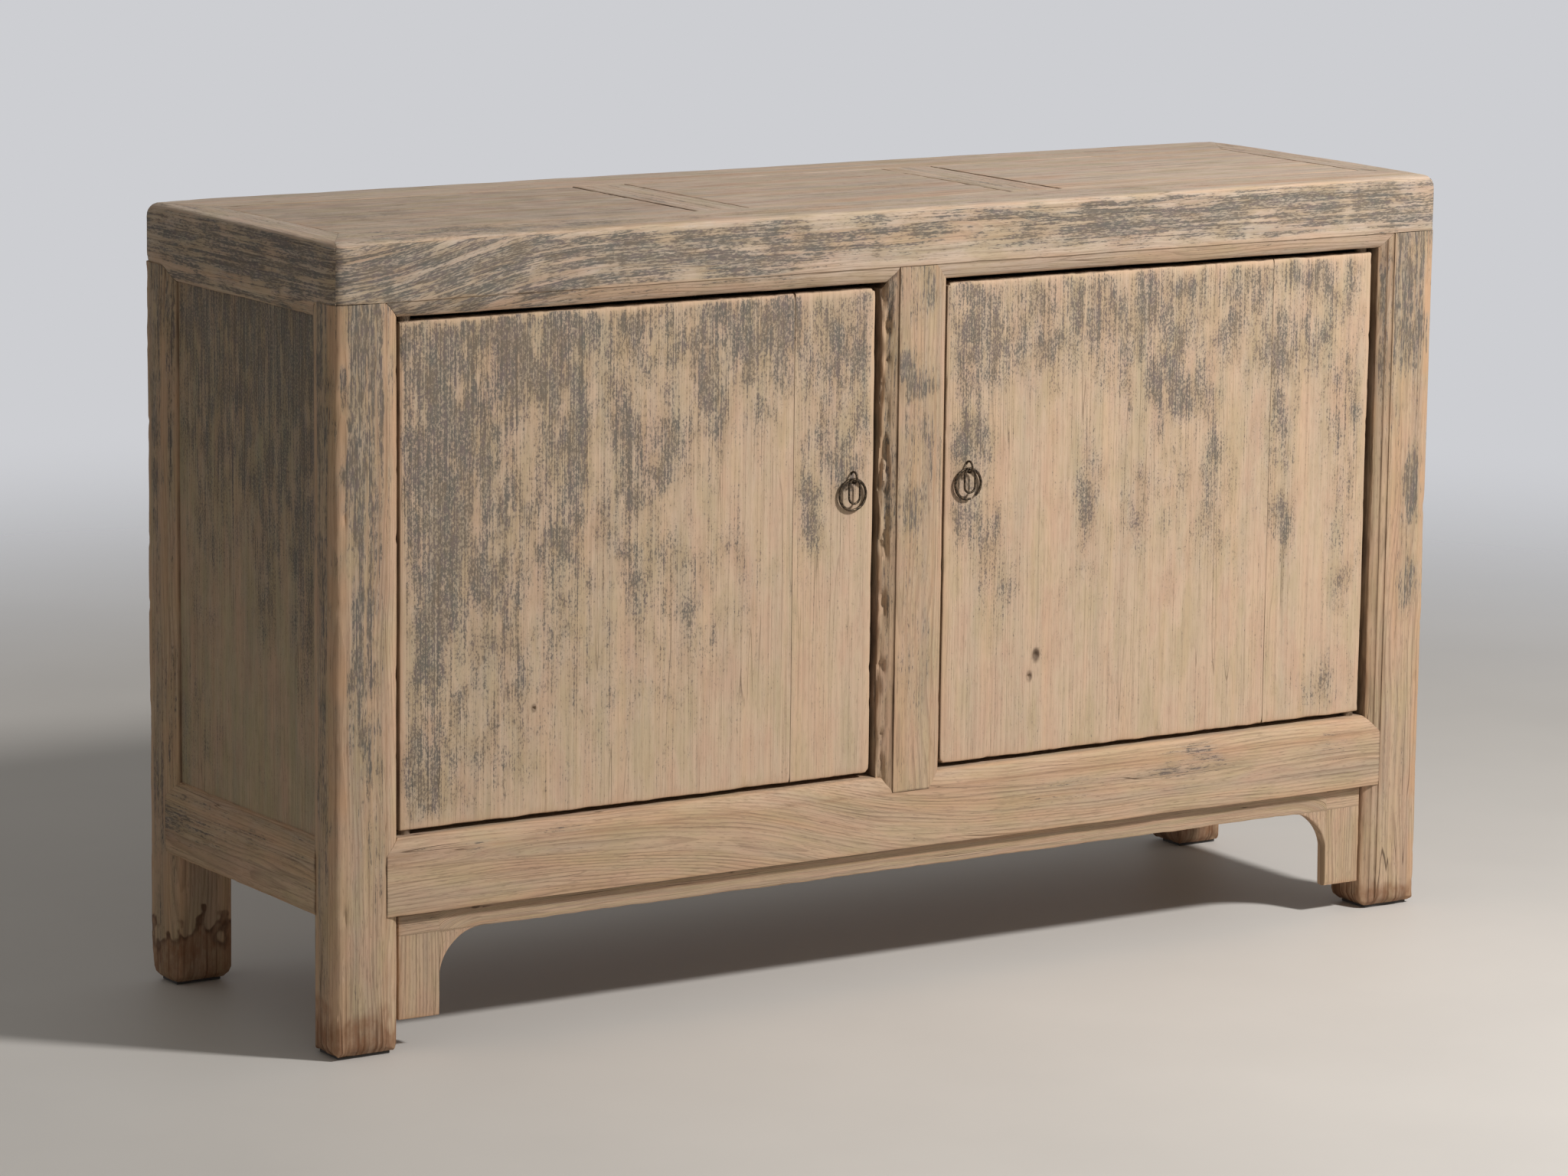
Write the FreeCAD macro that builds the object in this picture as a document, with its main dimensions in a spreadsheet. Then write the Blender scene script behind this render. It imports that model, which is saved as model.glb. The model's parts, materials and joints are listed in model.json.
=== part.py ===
import FreeCAD, Part
import os
import re

import Sketcher

# Kang cabinet of old elm: four corner legs carry a mitred top frame with three flush panels,
# low rails with a shaped apron, tongued side and back panels, a boarded floor, and two board
# doors that turn on wooden pins and are drawn open by iron rings.
# The row frame: zero is on the ground under the middle, X to the right, Y to the back, Z up.

# Driving dimensions in millimetres
SIZES = {
    # The case
    "case_width": 1400.0,
    "case_depth": 420.0,
    "case_height": 834.0,
    "joint_play": 0.2,  # between a tongue or tenon and the cut that takes it
    "overrun": 5.0,  # how far every cutting shape stands out past the face it opens

    # Legs, each a square post with its two inner show edges moulded
    "leg_width": 77.0,
    "back_leg_width": 70.0,
    "leg_depth": 60.0,
    "leg_round": 8.0,
    "foot_chamfer": 5.0,
    "worn_foot_run": 17.0,
    "worn_foot_rise": 58.0,
    "pad_thickness": 3.5,
    "pad_inset": 9.0,

    # The edge moulding that frames every opening, mitred at its corners
    "moulding_width": 17.0,
    "moulding_drop": 9.0,
    "ear_depth": 12.0,

    # Tenons
    "tenon_thickness": 12.0,
    "tenon_setback": 24.0,
    "tenon_shoulder": 12.0,
    "rail_tenon_length": 36.0,
    "side_tenon_setback": 20.0,
    "side_tenon_length": 34.0,
    "leg_tenon_side": 24.0,
    "leg_tenon_length": 40.0,

    # The top: a mitred frame, two cross rails and three panels, all flush
    "top_rail_height": 62.0,
    "top_rail_width": 82.0,
    "top_end_width": 50.0,
    "top_round": 7.0,
    "top_corner_round": 11.0,
    "cross_rail_width": 64.0,
    "cross_rail_height": 40.0,
    "cross_tenon_length": 30.0,
    "cross_tenon_rise": 4.0,
    "left_cross_place": 193.0,
    "right_cross_place": 207.0,
    "top_panel_thickness": 16.0,
    "panel_line": 0.6,  # the open line round a flush panel
    "tongue_thickness": 7.0,
    "tongue_length": 8.0,

    # Low rails
    "rail_ground": 143.5,
    "rail_height": 80.5,
    "front_rail_depth": 48.0,
    "side_rail_depth": 40.0,
    "back_rail_depth": 40.0,

    # Posts between the doors and between the back panels
    "stile_width": 82.0,
    "stile_depth": 48.0,
    "stile_tenon_width": 40.0,
    "stile_tenon_length": 24.0,
    "back_stile_width": 60.0,
    "back_stile_depth": 40.0,

    # Side and back panels
    "panel_recess": 12.0,
    "panel_thickness": 12.0,

    # Floor
    "floor_thickness": 14.0,
    "bearer_width": 50.0,
    "bearer_height": 38.0,
    "bearer_tenon_length": 10.0,

    # Apron under the front rail
    "apron_recess": 10.0,
    "apron_thickness": 14.0,
    "apron_strip": 24.0,
    "apron_arc": 50.0,
    "apron_end_line": 1.2,
    "apron_tongue_height": 8.0,
    "apron_tongue_cheek": 3.0,
    "bracket_width": 48.0,
    "bracket_ground": 32.0,

    # Doors, two boards each, with pins worked on the outer board
    "door_recess": 13.0,
    "door_thickness": 20.0,
    "door_gap": 4.0,
    "door_arris": 3.0,
    "door_corner": 8.0,
    "seam_line": 0.4,
    "left_pull_board_width": 102.0,
    "right_pin_board_width": 138.0,
    "stop_gap": 0.5,
    "pivot_inset": 10.0,
    "pivot_radius": 7.0,
    "pivot_seat": 14.0,
    "pivot_end_play": 0.3,
    "running_play": 0.08,
    "batten_width": 40.0,
    "batten_proud": 10.0,
    "batten_housing": 5.0,
    "batten_flare": 3.0,
    "batten_inset": 70.0,
    "batten_reach": 36.0,

    # Iron pulls: a split pin whose eye holds a round ring and an oval link
    "pull_height": 551.0,
    "pull_inset": 29.0,
    "eye_radius": 6.0,
    "eye_wire": 1.2,
    "eye_stand": 4.5,
    "clinch_length": 11.0,
    "ring_radius": 16.5,
    "ring_wire": 1.5,
    "link_reach": 25.5,
    "link_radius": 6.75,
    "link_wire": 1.25,
    "hang_drop": 2.2,
    "hang_spread": 1.7,
}

# The moulding from the flat to the opening, as shares of its width and of its drop: a small
# sunk step, a narrow bead that leans in, a second step and a long slope
MOULDING_SHARES = ((0.0, 0.17), (0.42, 0.32), (0.46, 0.48), (1.0, 1.0))

# Places that the pieces share, written in the sizes
LEFT = "(-case_width / 2)"
RIGHT = "(case_width / 2)"
FRONT = "(-case_depth / 2)"
BACK = "(case_depth / 2)"
SHOULDER = "(case_height - top_rail_height)"
HEAD = f"({SHOULDER} - moulding_width)"
SILL = "(rail_ground + rail_height)"
SILL_FLAT = f"({SILL} - moulding_width)"
JAMB = f"({LEFT} + leg_width)"
BACK_JAMB = f"({LEFT} + back_leg_width)"
SIDE_FRONT = f"({FRONT} + leg_depth)"
SIDE_BACK = f"({BACK} - leg_depth)"
FLAT_X = f"({JAMB} - moulding_width)"
FLAT_FRONT = f"({SIDE_FRONT} - moulding_width)"
FLAT_BACK = f"({SIDE_BACK} + moulding_width)"
FRONT_EAR = f"({FRONT} + ear_depth)"
LEFT_EAR = f"({LEFT} + ear_depth)"
PANEL_LOW = "(case_height - top_panel_thickness)"
STILE_SIDE = "(stile_width / 2)"
STILE_FLAT = f"({STILE_SIDE} - moulding_width)"
BACK_STILE_SIDE = "(back_stile_width / 2)"
FRONT_TENON = (f"{FRONT} + tenon_setback", f"{FRONT} + tenon_setback + tenon_thickness")
BACK_TENON = (f"{BACK} - tenon_setback - tenon_thickness", f"{BACK} - tenon_setback")
RAIL_TENON_RISE = ("rail_ground + tenon_shoulder", f"{SILL_FLAT} - tenon_shoulder / 2")
SIDE_PANEL = (f"{LEFT} + panel_recess", f"{LEFT} + panel_recess + panel_thickness")
BACK_PANEL = (f"{BACK} - panel_recess - panel_thickness", f"{BACK} - panel_recess")
TOP_TONGUE = (PANEL_LOW, f"{PANEL_LOW} + tongue_thickness")
FLOOR_FRONT = f"({FRONT} + door_recess + door_thickness + stop_gap)"
FLOOR_BACK = f"({BACK_PANEL[0]} - joint_play)"
DOOR_FRONT = f"({FRONT} + door_recess)"
DOOR_BACK = f"({DOOR_FRONT} + door_thickness)"
DOOR_LOW = f"({SILL} + door_gap)"
DOOR_HIGH = f"({HEAD} - door_gap)"
DOOR_OUTER = f"({JAMB} + door_gap)"
DOOR_INNER = f"(-{STILE_SIDE} - door_gap)"
PIVOT_X = f"({DOOR_OUTER} + pivot_inset)"
PIVOT_Y = f"({DOOR_FRONT} + door_thickness / 2)"
PULL_X = f"({DOOR_INNER} - pull_inset)"
EYE_Y = f"({DOOR_FRONT} - eye_stand)"
HANG_HEIGHT = "(pull_height - hang_drop)"

DOOR_HEEL = (
    "(sqrt((pivot_inset - door_arris) ^ 2 + (door_thickness / 2 - door_arris) ^ 2) + door_arris)"
)

PLANE_ROLES = {"X": "YZ_Plane", "Y": "XZ_Plane", "Z": "XY_Plane"}
SAME_PLACE = 1e-6  # closer than this, two places are one
LEAST_CUT = 0.1  # a cut that takes less than this volume has missed

doc = FreeCAD.newDocument("KangCabinet")
sheet = doc.addObject("Spreadsheet::Sheet", "Sizes")
parts = []
cuts = []


def fill_sheet():
    """Write every driving dimension into the sheet under its own name."""
    for row, (name, value) in enumerate(SIZES.items(), start=1):
        sheet.set(f"A{row}", name)
        sheet.set(f"B{row}", str(value))
        sheet.setAlias(f"B{row}", name)
    doc.recompute()


def in_sheet(expression):
    """Write the sheet's name before each size that an expression names."""
    def full_name(word):
        name = word.group(0)
        return f"Sizes.{name}" if name in SIZES else name

    return re.sub(r"[a-z][a-z_]*", full_name, expression)


def amount(expression):
    """Work out an expression in millimetres."""
    return float(sheet.evalExpression(in_sheet(expression)))


def bind(item, prop, expression):
    """Bind one property of an object to an expression in the sheet's sizes."""
    item.setExpression(prop, in_sheet(expression))


def place(item, corner, rotation=None):
    """Put an object's own zero at a corner given as three expressions."""
    if rotation is not None:
        item.Placement = FreeCAD.Placement(FreeCAD.Vector(), rotation)
    for axis, expression in zip("xyz", corner):
        bind(item, f".Placement.Base.{axis}", expression)


def sub_part(item, label):
    """Label an object as one separate piece of the cabinet."""
    item.Label = label
    parts.append(item)
    return item


def new_body(label, kept=True):
    """Start the body of one piece, or of a shape that a later cut uses."""
    body = doc.addObject("PartDesign::Body", label)
    return sub_part(body, label) if kept else body


def attach(body, feature, axis):
    """Attach a feature to the body's own origin plane that is square to an axis."""
    role = PLANE_ROLES[axis]
    plane = next(item for item in body.Origin.OriginFeatures if item.Role == role)
    feature.AttachmentSupport = (plane, [""])
    feature.MapMode = "FlatFace"


def note_cut(body, feature, before):
    """Remember a cut, so that its volume is compared with what it was cut from."""
    cuts.append((body, feature, before))


def box(body, kind, spans):
    """Add ("Additive") or take away ("Subtractive") a box given by its span along X, Y and Z."""
    before = body.Tip
    feature = body.newObject(f"PartDesign::{kind}Box", f"{body.Name}_{kind}Box")
    attach(body, feature, "Z")
    for axis, side, (low, high) in zip("xyz", ("Length", "Width", "Height"), spans):
        bind(feature, f".AttachmentOffset.Base.{axis}", low)
        bind(feature, side, f"({high}) - ({low})")
    if kind == "Subtractive":
        note_cut(body, feature, before)
    return feature


def cylinder(body, kind, axis, centre, radius, low, high):
    """Add or take away a round bar or hole along an axis, given by its centre square to it.

    The centre is in (X, Y) for the Z axis, (X, Z) for the Y axis and (Y, Z) for the X axis.
    """
    before = body.Tip
    feature = body.newObject(f"PartDesign::{kind}Cylinder", f"{body.Name}_{kind}Cylinder")
    attach(body, feature, axis)
    bind(feature, ".AttachmentOffset.Base.x", centre[0])
    bind(feature, ".AttachmentOffset.Base.y", centre[1])
    bind(feature, ".AttachmentOffset.Base.z", f"-({high})" if axis == "Y" else low)
    bind(feature, "Radius", radius)
    bind(feature, "Height", f"({high}) - ({low})")
    if kind == "Subtractive":
        note_cut(body, feature, before)
    return feature


def draw_outline(sketch, outline):
    """Draw a closed outline whose every corner is held by two bound distances from zero."""
    corners = [FreeCAD.Vector(amount(across), amount(up), 0) for across, up in outline]
    count = len(corners)
    lines = [Part.LineSegment(corners[i], corners[(i + 1) % count]) for i in range(count)]
    sketch.addGeometry(lines, False)
    joins = [Sketcher.Constraint("Coincident", i, 2, (i + 1) % count, 1) for i in range(count)]
    sketch.addConstraint(joins)
    for i, (corner, (across, up)) in enumerate(zip(corners, outline)):
        for kind, value, expression in (("DistanceX", corner.x, across), ("DistanceY", corner.y, up)):
            held = sketch.addConstraint(Sketcher.Constraint(kind, -1, 1, i, 1, value))
            bind(sketch, f"Constraints[{held}]", expression)


def prism(body, kind, axis, outline, low, high):
    """Pad or pocket an outline along an axis, from a low to a high place on it.

    The outline is in (X, Y) for the Z axis, (X, Z) for the Y axis and (Y, Z) for the X axis.
    A sketch square to Y looks along -Y, and a pocket runs against its sketch's own direction.
    """
    before = body.Tip
    sketch = body.newObject("Sketcher::SketchObject", f"{body.Name}_Outline")
    attach(body, sketch, axis)
    along_axis = axis != "Y"
    from_low = along_axis == (kind == "Pad")
    start = low if from_low else high
    bind(sketch, ".AttachmentOffset.Base.z", start if along_axis else f"-({start})")
    draw_outline(sketch, outline)
    feature = body.newObject(f"PartDesign::{kind}", f"{body.Name}_{kind}")
    feature.Profile = sketch
    bind(feature, "Length", f"({high}) - ({low})")
    if kind == "Pocket":
        note_cut(body, feature, before)
    return feature


def on_lines(edge, **places):
    """Tell whether all of an edge lies at the given places, such as x=..., z=..."""
    points = [edge.valueAt(edge.FirstParameter), edge.valueAt(edge.LastParameter)]
    return all(
        abs(getattr(point, axis) - value) < SAME_PLACE
        for point in points for axis, value in places.items()
    )


def soften(body, kind, size, wanted):
    """Round ("Fillet") or chamfer ("Chamfer") the edges that a test picks from the body so far."""
    doc.recompute()
    before = body.Tip
    names = [f"Edge{n}" for n, edge in enumerate(before.Shape.Edges, start=1) if wanted(edge)]
    if not names:
        raise ValueError(f"{body.Label}: no edge to {kind.lower()}")
    feature = body.newObject(f"PartDesign::{kind}", f"{body.Name}_{kind}")
    feature.Base = (before, names)
    bind(feature, "Radius" if kind == "Fillet" else "Size", size)
    return feature


def mirrored(source, label):
    """Make a piece's other-handed twin across the middle of the cabinet."""
    twin = doc.addObject("Part::Mirroring", label)
    twin.Source = source
    twin.Normal = FreeCAD.Vector(1, 0, 0)
    return sub_part(twin, label)


def flipped(spans):
    """Give a box's spans on the other side of the middle."""
    (low, high), *rest = spans
    return [(f"-({high})", f"-({low})"), *rest]


def widened(span):
    """Open a tenon's or tongue's span by the joint play on both sides."""
    low, high = span
    return (f"{low} - joint_play", f"{high} + joint_play")


def moulding_waste(start, along, face, inward, depth_first):
    """Outline the waste in front of an edge moulding.

    start is where the flat ends, along is "+" or "-" towards the opening, face is the show face
    and inward is "+" or "-" into the wood. depth_first puts the depth before the width.
    """
    outward = "-" if inward == "+" else "+"
    profile = [
        (f"{start} {along} moulding_width * {across}", f"{face} {inward} moulding_drop * {drop}")
        for across, drop in MOULDING_SHARES
    ]
    beyond = f"{start} {along} (moulding_width + overrun)"
    outline = [(start, f"{face} {outward} overrun"), *profile]
    outline += [(beyond, f"{face} {inward} moulding_drop"), (beyond, f"{face} {outward} overrun")]
    return [(depth, across) for across, depth in outline] if depth_first else outline


# Joint spans that two pieces share

LEG_TENON_X = (f"{FLAT_X} - leg_tenon_side", FLAT_X)
FRONT_LEG_TENON_Y = (f"{FLAT_FRONT} - leg_tenon_side", FLAT_FRONT)
BACK_LEG_TENON_Y = (FLAT_BACK, f"{FLAT_BACK} + leg_tenon_side")
FRONT_RAIL_TENON = ((f"{JAMB} - rail_tenon_length", JAMB), FRONT_TENON, RAIL_TENON_RISE)
BACK_RAIL_TENON = ((f"{BACK_JAMB} - rail_tenon_length", BACK_JAMB), BACK_TENON, RAIL_TENON_RISE)
SIDE_TENON_X = (f"{LEFT} + side_tenon_setback", f"{LEFT} + side_tenon_setback + tenon_thickness")
SIDE_TENON_FRONT = (SIDE_TENON_X, (f"{SIDE_FRONT} - side_tenon_length", SIDE_FRONT), RAIL_TENON_RISE)
SIDE_TENON_BACK = (SIDE_TENON_X, (SIDE_BACK, f"{SIDE_BACK} + side_tenon_length"), RAIL_TENON_RISE)
STILE_TENON_X = ("-stile_tenon_width / 2", "stile_tenon_width / 2")
BACK_STILE_TENON_X = (f"-{BACK_STILE_SIDE} + tenon_shoulder", f"{BACK_STILE_SIDE} - tenon_shoulder")
UPPER_STILE_TENON = (HEAD, f"{HEAD} + stile_tenon_length")
LOWER_STILE_TENON = (f"{SILL} - stile_tenon_length", SILL)
BEARER_LOW = f"({SILL} - bearer_height)"
BEARER_TENON_Z = (BEARER_LOW, f"{BEARER_LOW} + tenon_thickness")
BEARER_TENON_X = ("-bearer_width / 2 + tenon_shoulder", "bearer_width / 2 - tenon_shoulder")
BEARER_FRONT = f"({FRONT} + front_rail_depth)"
BEARER_BACK = f"({BACK} - back_rail_depth)"
CROSS_TENON_Z = (
    "case_height - cross_rail_height + cross_tenon_rise",
    "case_height - cross_rail_height + cross_tenon_rise + tenon_thickness",
)
CROSS_TENON_X = ("-cross_rail_width / 2 + tenon_shoulder", "cross_rail_width / 2 - tenon_shoulder")
TOP_FRONT_INNER = f"({FRONT} + top_rail_width)"
TOP_BACK_INNER = f"({BACK} - top_rail_width)"
TOP_END_INNER = f"({LEFT} + top_end_width)"
CROSS_PLACES = {"left": "-left_cross_place", "right": "right_cross_place"}


def head_mitre(flat, past):
    """Outline what a leg loses above its mitre with a top rail's moulding."""
    above = f"{SHOULDER} + overrun"
    return [(flat, above), (flat, SHOULDER), (past, f"{HEAD} - overrun"), (past, above)]


def rail_ear_recess(flat, past):
    """Outline where a low rail's mitred ear laps over a leg's moulding."""
    return [(flat, "rail_ground"), (past, "rail_ground"), (past, f"{SILL} + overrun"), (flat, SILL_FLAT)]


def cut_side_joints(leg, inner, inward, flat, tenon):
    """Cut what a left leg's side takes: moulding, mitred ear of the rail, tenon and panel."""
    outward = "-" if inward == "+" else "+"
    past = f"{inner} {inward} overrun"
    prism(leg, "Pocket", "Z", moulding_waste(flat, inward, LEFT, "+", True), "0", SHOULDER)
    prism(leg, "Pocket", "X", head_mitre(flat, past), f"{LEFT} - overrun", TOP_END_INNER)
    prism(leg, "Pocket", "X", rail_ear_recess(flat, past), f"{LEFT} - overrun", LEFT_EAR)
    box(leg, "Subtractive", [widened(span) for span in tenon])
    groove_end = f"{inner} {outward} (tongue_length + joint_play)"
    groove = (groove_end, past) if inward == "+" else (past, groove_end)
    rise = (f"{SILL} - tongue_length - joint_play", f"{HEAD} + tongue_length + joint_play")
    box(leg, "Subtractive", (widened(SIDE_PANEL), groove, rise))


def leg_stock(label, inner_x, low_y, high_y, outer_y, kept=True):
    """Saw out a left leg, round its outer arris and chamfer its foot."""
    leg = new_body(label, kept)
    box(leg, "Additive", ((LEFT, inner_x), (low_y, high_y), ("pad_thickness", SHOULDER)))
    left, outer, foot = amount(LEFT), amount(outer_y), amount("pad_thickness")
    soften(leg, "Fillet", "leg_round", lambda edge: on_lines(edge, x=left, y=outer))
    soften(leg, "Chamfer", "foot_chamfer", lambda edge: on_lines(edge, z=foot))
    return leg


def front_leg():
    """Make the left front leg, with mouldings towards the door and towards the side panel."""
    leg = leg_stock("leg_front_left", JAMB, FRONT, SIDE_FRONT, FRONT)
    rise = (SHOULDER, f"{SHOULDER} + leg_tenon_length")
    box(leg, "Additive", (LEG_TENON_X, FRONT_LEG_TENON_Y, rise))
    prism(leg, "Pocket", "Z", moulding_waste(FLAT_X, "+", FRONT, "+", False), "0", SHOULDER)
    past = f"{JAMB} + overrun"
    mitre = head_mitre(FLAT_X, past)
    prism(leg, "Pocket", "Y", mitre, f"{FRONT} - overrun", f"{SIDE_FRONT} + overrun")
    prism(leg, "Pocket", "Y", rail_ear_recess(FLAT_X, past), f"{FRONT} - overrun", FRONT_EAR)
    box(leg, "Subtractive", [widened(span) for span in FRONT_RAIL_TENON])
    cut_side_joints(leg, SIDE_FRONT, "+", FLAT_FRONT, SIDE_TENON_FRONT)
    return leg


def back_leg():
    """Make the left back leg, moulded towards the side panel only, before its foot is worn."""
    leg = leg_stock("back_leg_blank", BACK_JAMB, SIDE_BACK, BACK, BACK, kept=False)
    rise = (SHOULDER, f"{SHOULDER} + leg_tenon_length")
    box(leg, "Additive", (LEG_TENON_X, BACK_LEG_TENON_Y, rise))
    cut_side_joints(leg, SIDE_BACK, "-", FLAT_BACK, SIDE_TENON_BACK)
    box(leg, "Subtractive", [widened(span) for span in BACK_RAIL_TENON])
    groove = (f"{BACK_JAMB} - tongue_length - joint_play", f"{BACK_JAMB} + overrun")
    rise = (f"{SILL} - tongue_length - joint_play", f"{HEAD} + tongue_length + joint_play")
    box(leg, "Subtractive", (groove, widened(BACK_PANEL), rise))
    return leg


def worn_back_leg(blank):
    """Take the long worn corner off the foot of the left back leg."""
    corner = new_body("worn_corner", kept=False)
    outline = [(f"{BACK} - worn_foot_run", "0"), (f"{BACK} + worn_foot_run", "0"),
               (f"{BACK} + worn_foot_run", "2 * worn_foot_rise")]
    prism(corner, "Pad", "X", outline, f"{LEFT} - overrun", f"{BACK_JAMB} + overrun")
    leg = sub_part(doc.addObject("Part::Cut", "leg_back_left"), "leg_back_left")
    leg.Base = blank
    leg.Tool = corner
    return leg


def foot_pad(label, inner_x, low_y, high_y):
    """Lay a glide pad inside the edges of a left leg's foot."""
    pad = sub_part(doc.addObject("Part::Box", label), label)
    bind(pad, "Length", f"{inner_x} - {LEFT} - 2 * pad_inset")
    bind(pad, "Width", f"{high_y} - {low_y} - 2 * pad_inset")
    bind(pad, "Height", "pad_thickness")
    place(pad, (f"{LEFT} + pad_inset", f"{low_y} + pad_inset", "0"))
    return pad


def top_slab(label):
    """Shape the outside of the whole top, from which one rail of its frame is cut."""
    slab = new_body(label)
    box(slab, "Additive", ((LEFT, RIGHT), (FRONT, BACK), (SHOULDER, "case_height")))
    left, front, top = amount(LEFT), amount(FRONT), amount("case_height")
    corners = [(x, y) for x in (left, -left) for y in (front, -front)]
    soften(slab, "Fillet", "top_corner_round", lambda edge: any(on_lines(edge, x=x, y=y) for x, y in corners))
    soften(slab, "Fillet", "top_round", lambda edge: on_lines(edge, z=top))
    return slab


def cut_long_rail_joints(rail, panel_groove, cross_tenon, leg_tenon_y):
    """Cut what both long top rails take: panel tongues, cross rail tenons and leg tenons."""
    groove_end = f"({TOP_END_INNER} - tongue_length - joint_play)"
    box(rail, "Subtractive", ((groove_end, f"-{groove_end}"), panel_groove, widened(TOP_TONGUE)))
    for place_x in CROSS_PLACES.values():
        span_x = tuple(f"{place_x} + {edge}" for edge in widened(CROSS_TENON_X))
        box(rail, "Subtractive", (span_x, cross_tenon, widened(CROSS_TENON_Z)))
    rise = (f"{SHOULDER} - overrun", f"{SHOULDER} + leg_tenon_length + joint_play")
    leg_mortise = (widened(LEG_TENON_X), widened(leg_tenon_y), rise)
    box(rail, "Subtractive", leg_mortise)
    box(rail, "Subtractive", flipped(leg_mortise))


def top_front_rail():
    """Make the top front rail: its moulded lip heads the doors and holds their upper pins."""
    rail = top_slab("top_front_rail")
    outside = [
        (f"{LEFT} - overrun", FRONT), (LEFT, FRONT), (TOP_END_INNER, TOP_FRONT_INNER),
        (f"-{TOP_END_INNER}", TOP_FRONT_INNER), (RIGHT, FRONT), (f"{RIGHT} + overrun", FRONT),
        (f"{RIGHT} + overrun", f"{BACK} + overrun"), (f"{LEFT} - overrun", f"{BACK} + overrun"),
    ]
    prism(rail, "Pocket", "Z", outside, f"{SHOULDER} - overrun", "case_height + overrun")
    lip = [(FLAT_X, SHOULDER), (JAMB, HEAD), (f"-{JAMB}", HEAD), (f"-{FLAT_X}", SHOULDER)]
    prism(rail, "Pad", "Y", lip, FRONT, SIDE_FRONT)
    prism(rail, "Pocket", "X", moulding_waste(SHOULDER, "-", FRONT, "+", True), LEFT, RIGHT)
    stile_ear = [
        (f"-{STILE_SIDE} - overrun", f"{HEAD} - overrun"), (f"-{STILE_FLAT}", SHOULDER),
        (STILE_FLAT, SHOULDER), (f"{STILE_SIDE} + overrun", f"{HEAD} - overrun"),
    ]
    prism(rail, "Pocket", "Y", stile_ear, f"{FRONT} - overrun", FRONT_EAR)
    box(rail, "Subtractive", [widened(span) for span in (STILE_TENON_X, FRONT_TENON, UPPER_STILE_TENON)])
    cut_pin_holes(rail, f"{HEAD} - overrun", f"{HEAD} + pivot_seat + pivot_end_play")
    cut_long_rail_joints(
        rail,
        (f"{TOP_FRONT_INNER} - tongue_length - joint_play", f"{TOP_FRONT_INNER} + overrun"),
        (f"{TOP_FRONT_INNER} - cross_tenon_length - joint_play", f"{TOP_FRONT_INNER} + overrun"),
        FRONT_LEG_TENON_Y,
    )
    return rail


def cut_pin_holes(rail, low, high):
    """Bore the blind holes that both doors' pins turn in."""
    for centre_x in (PIVOT_X, f"-{PIVOT_X}"):
        cylinder(rail, "Subtractive", "Z", (centre_x, PIVOT_Y), "pivot_radius + running_play", low, high)


def top_back_rail():
    """Make the top back rail, with a plain lip that holds the back panels."""
    rail = top_slab("top_back_rail")
    outside = [
        (f"{LEFT} - overrun", BACK), (LEFT, BACK), (TOP_END_INNER, TOP_BACK_INNER),
        (f"-{TOP_END_INNER}", TOP_BACK_INNER), (RIGHT, BACK), (f"{RIGHT} + overrun", BACK),
        (f"{RIGHT} + overrun", f"{FRONT} - overrun"), (f"{LEFT} - overrun", f"{FRONT} - overrun"),
    ]
    prism(rail, "Pocket", "Z", outside, f"{SHOULDER} - overrun", "case_height + overrun")
    box(rail, "Additive", ((BACK_JAMB, f"-{BACK_JAMB}"), (SIDE_BACK, BACK), (HEAD, SHOULDER)))
    groove_rise = (f"{HEAD} - overrun", f"{HEAD} + tongue_length + joint_play")
    box(rail, "Subtractive", ((LEFT, RIGHT), widened(BACK_PANEL), groove_rise))
    tenon = (BACK_STILE_TENON_X, BACK_TENON, UPPER_STILE_TENON)
    box(rail, "Subtractive", [widened(span) for span in tenon])
    cut_long_rail_joints(
        rail,
        (f"{TOP_BACK_INNER} - overrun", f"{TOP_BACK_INNER} + tongue_length + joint_play"),
        (f"{TOP_BACK_INNER} - overrun", f"{TOP_BACK_INNER} + cross_tenon_length + joint_play"),
        BACK_LEG_TENON_Y,
    )
    return rail


def top_end_rail():
    """Make the left end rail of the top, with a moulded lip above the side panel."""
    rail = top_slab("top_end_rail_left")
    outside = [
        (LEFT, FRONT), (LEFT, f"{FRONT} - overrun"), (f"{RIGHT} + overrun", f"{FRONT} - overrun"),
        (f"{RIGHT} + overrun", f"{BACK} + overrun"), (LEFT, f"{BACK} + overrun"), (LEFT, BACK),
        (TOP_END_INNER, TOP_BACK_INNER), (TOP_END_INNER, TOP_FRONT_INNER),
    ]
    prism(rail, "Pocket", "Z", outside, f"{SHOULDER} - overrun", "case_height + overrun")
    lip = [(FLAT_FRONT, SHOULDER), (SIDE_FRONT, HEAD), (SIDE_BACK, HEAD), (FLAT_BACK, SHOULDER)]
    prism(rail, "Pad", "X", lip, LEFT, TOP_END_INNER)
    prism(rail, "Pocket", "Y", moulding_waste(SHOULDER, "-", LEFT, "+", True), FRONT, BACK)
    reach = (f"{SIDE_FRONT} - tongue_length - joint_play", f"{SIDE_BACK} + tongue_length + joint_play")
    groove_rise = (f"{HEAD} - overrun", f"{HEAD} + tongue_length + joint_play")
    box(rail, "Subtractive", (widened(SIDE_PANEL), reach, groove_rise))
    groove_x = (f"{TOP_END_INNER} - tongue_length - joint_play", f"{TOP_END_INNER} + overrun")
    groove_front = f"{TOP_FRONT_INNER} - tongue_length - joint_play"
    groove_y = (groove_front, f"{TOP_BACK_INNER} + tongue_length + joint_play")
    box(rail, "Subtractive", (groove_x, groove_y, widened(TOP_TONGUE)))
    return rail


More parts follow.
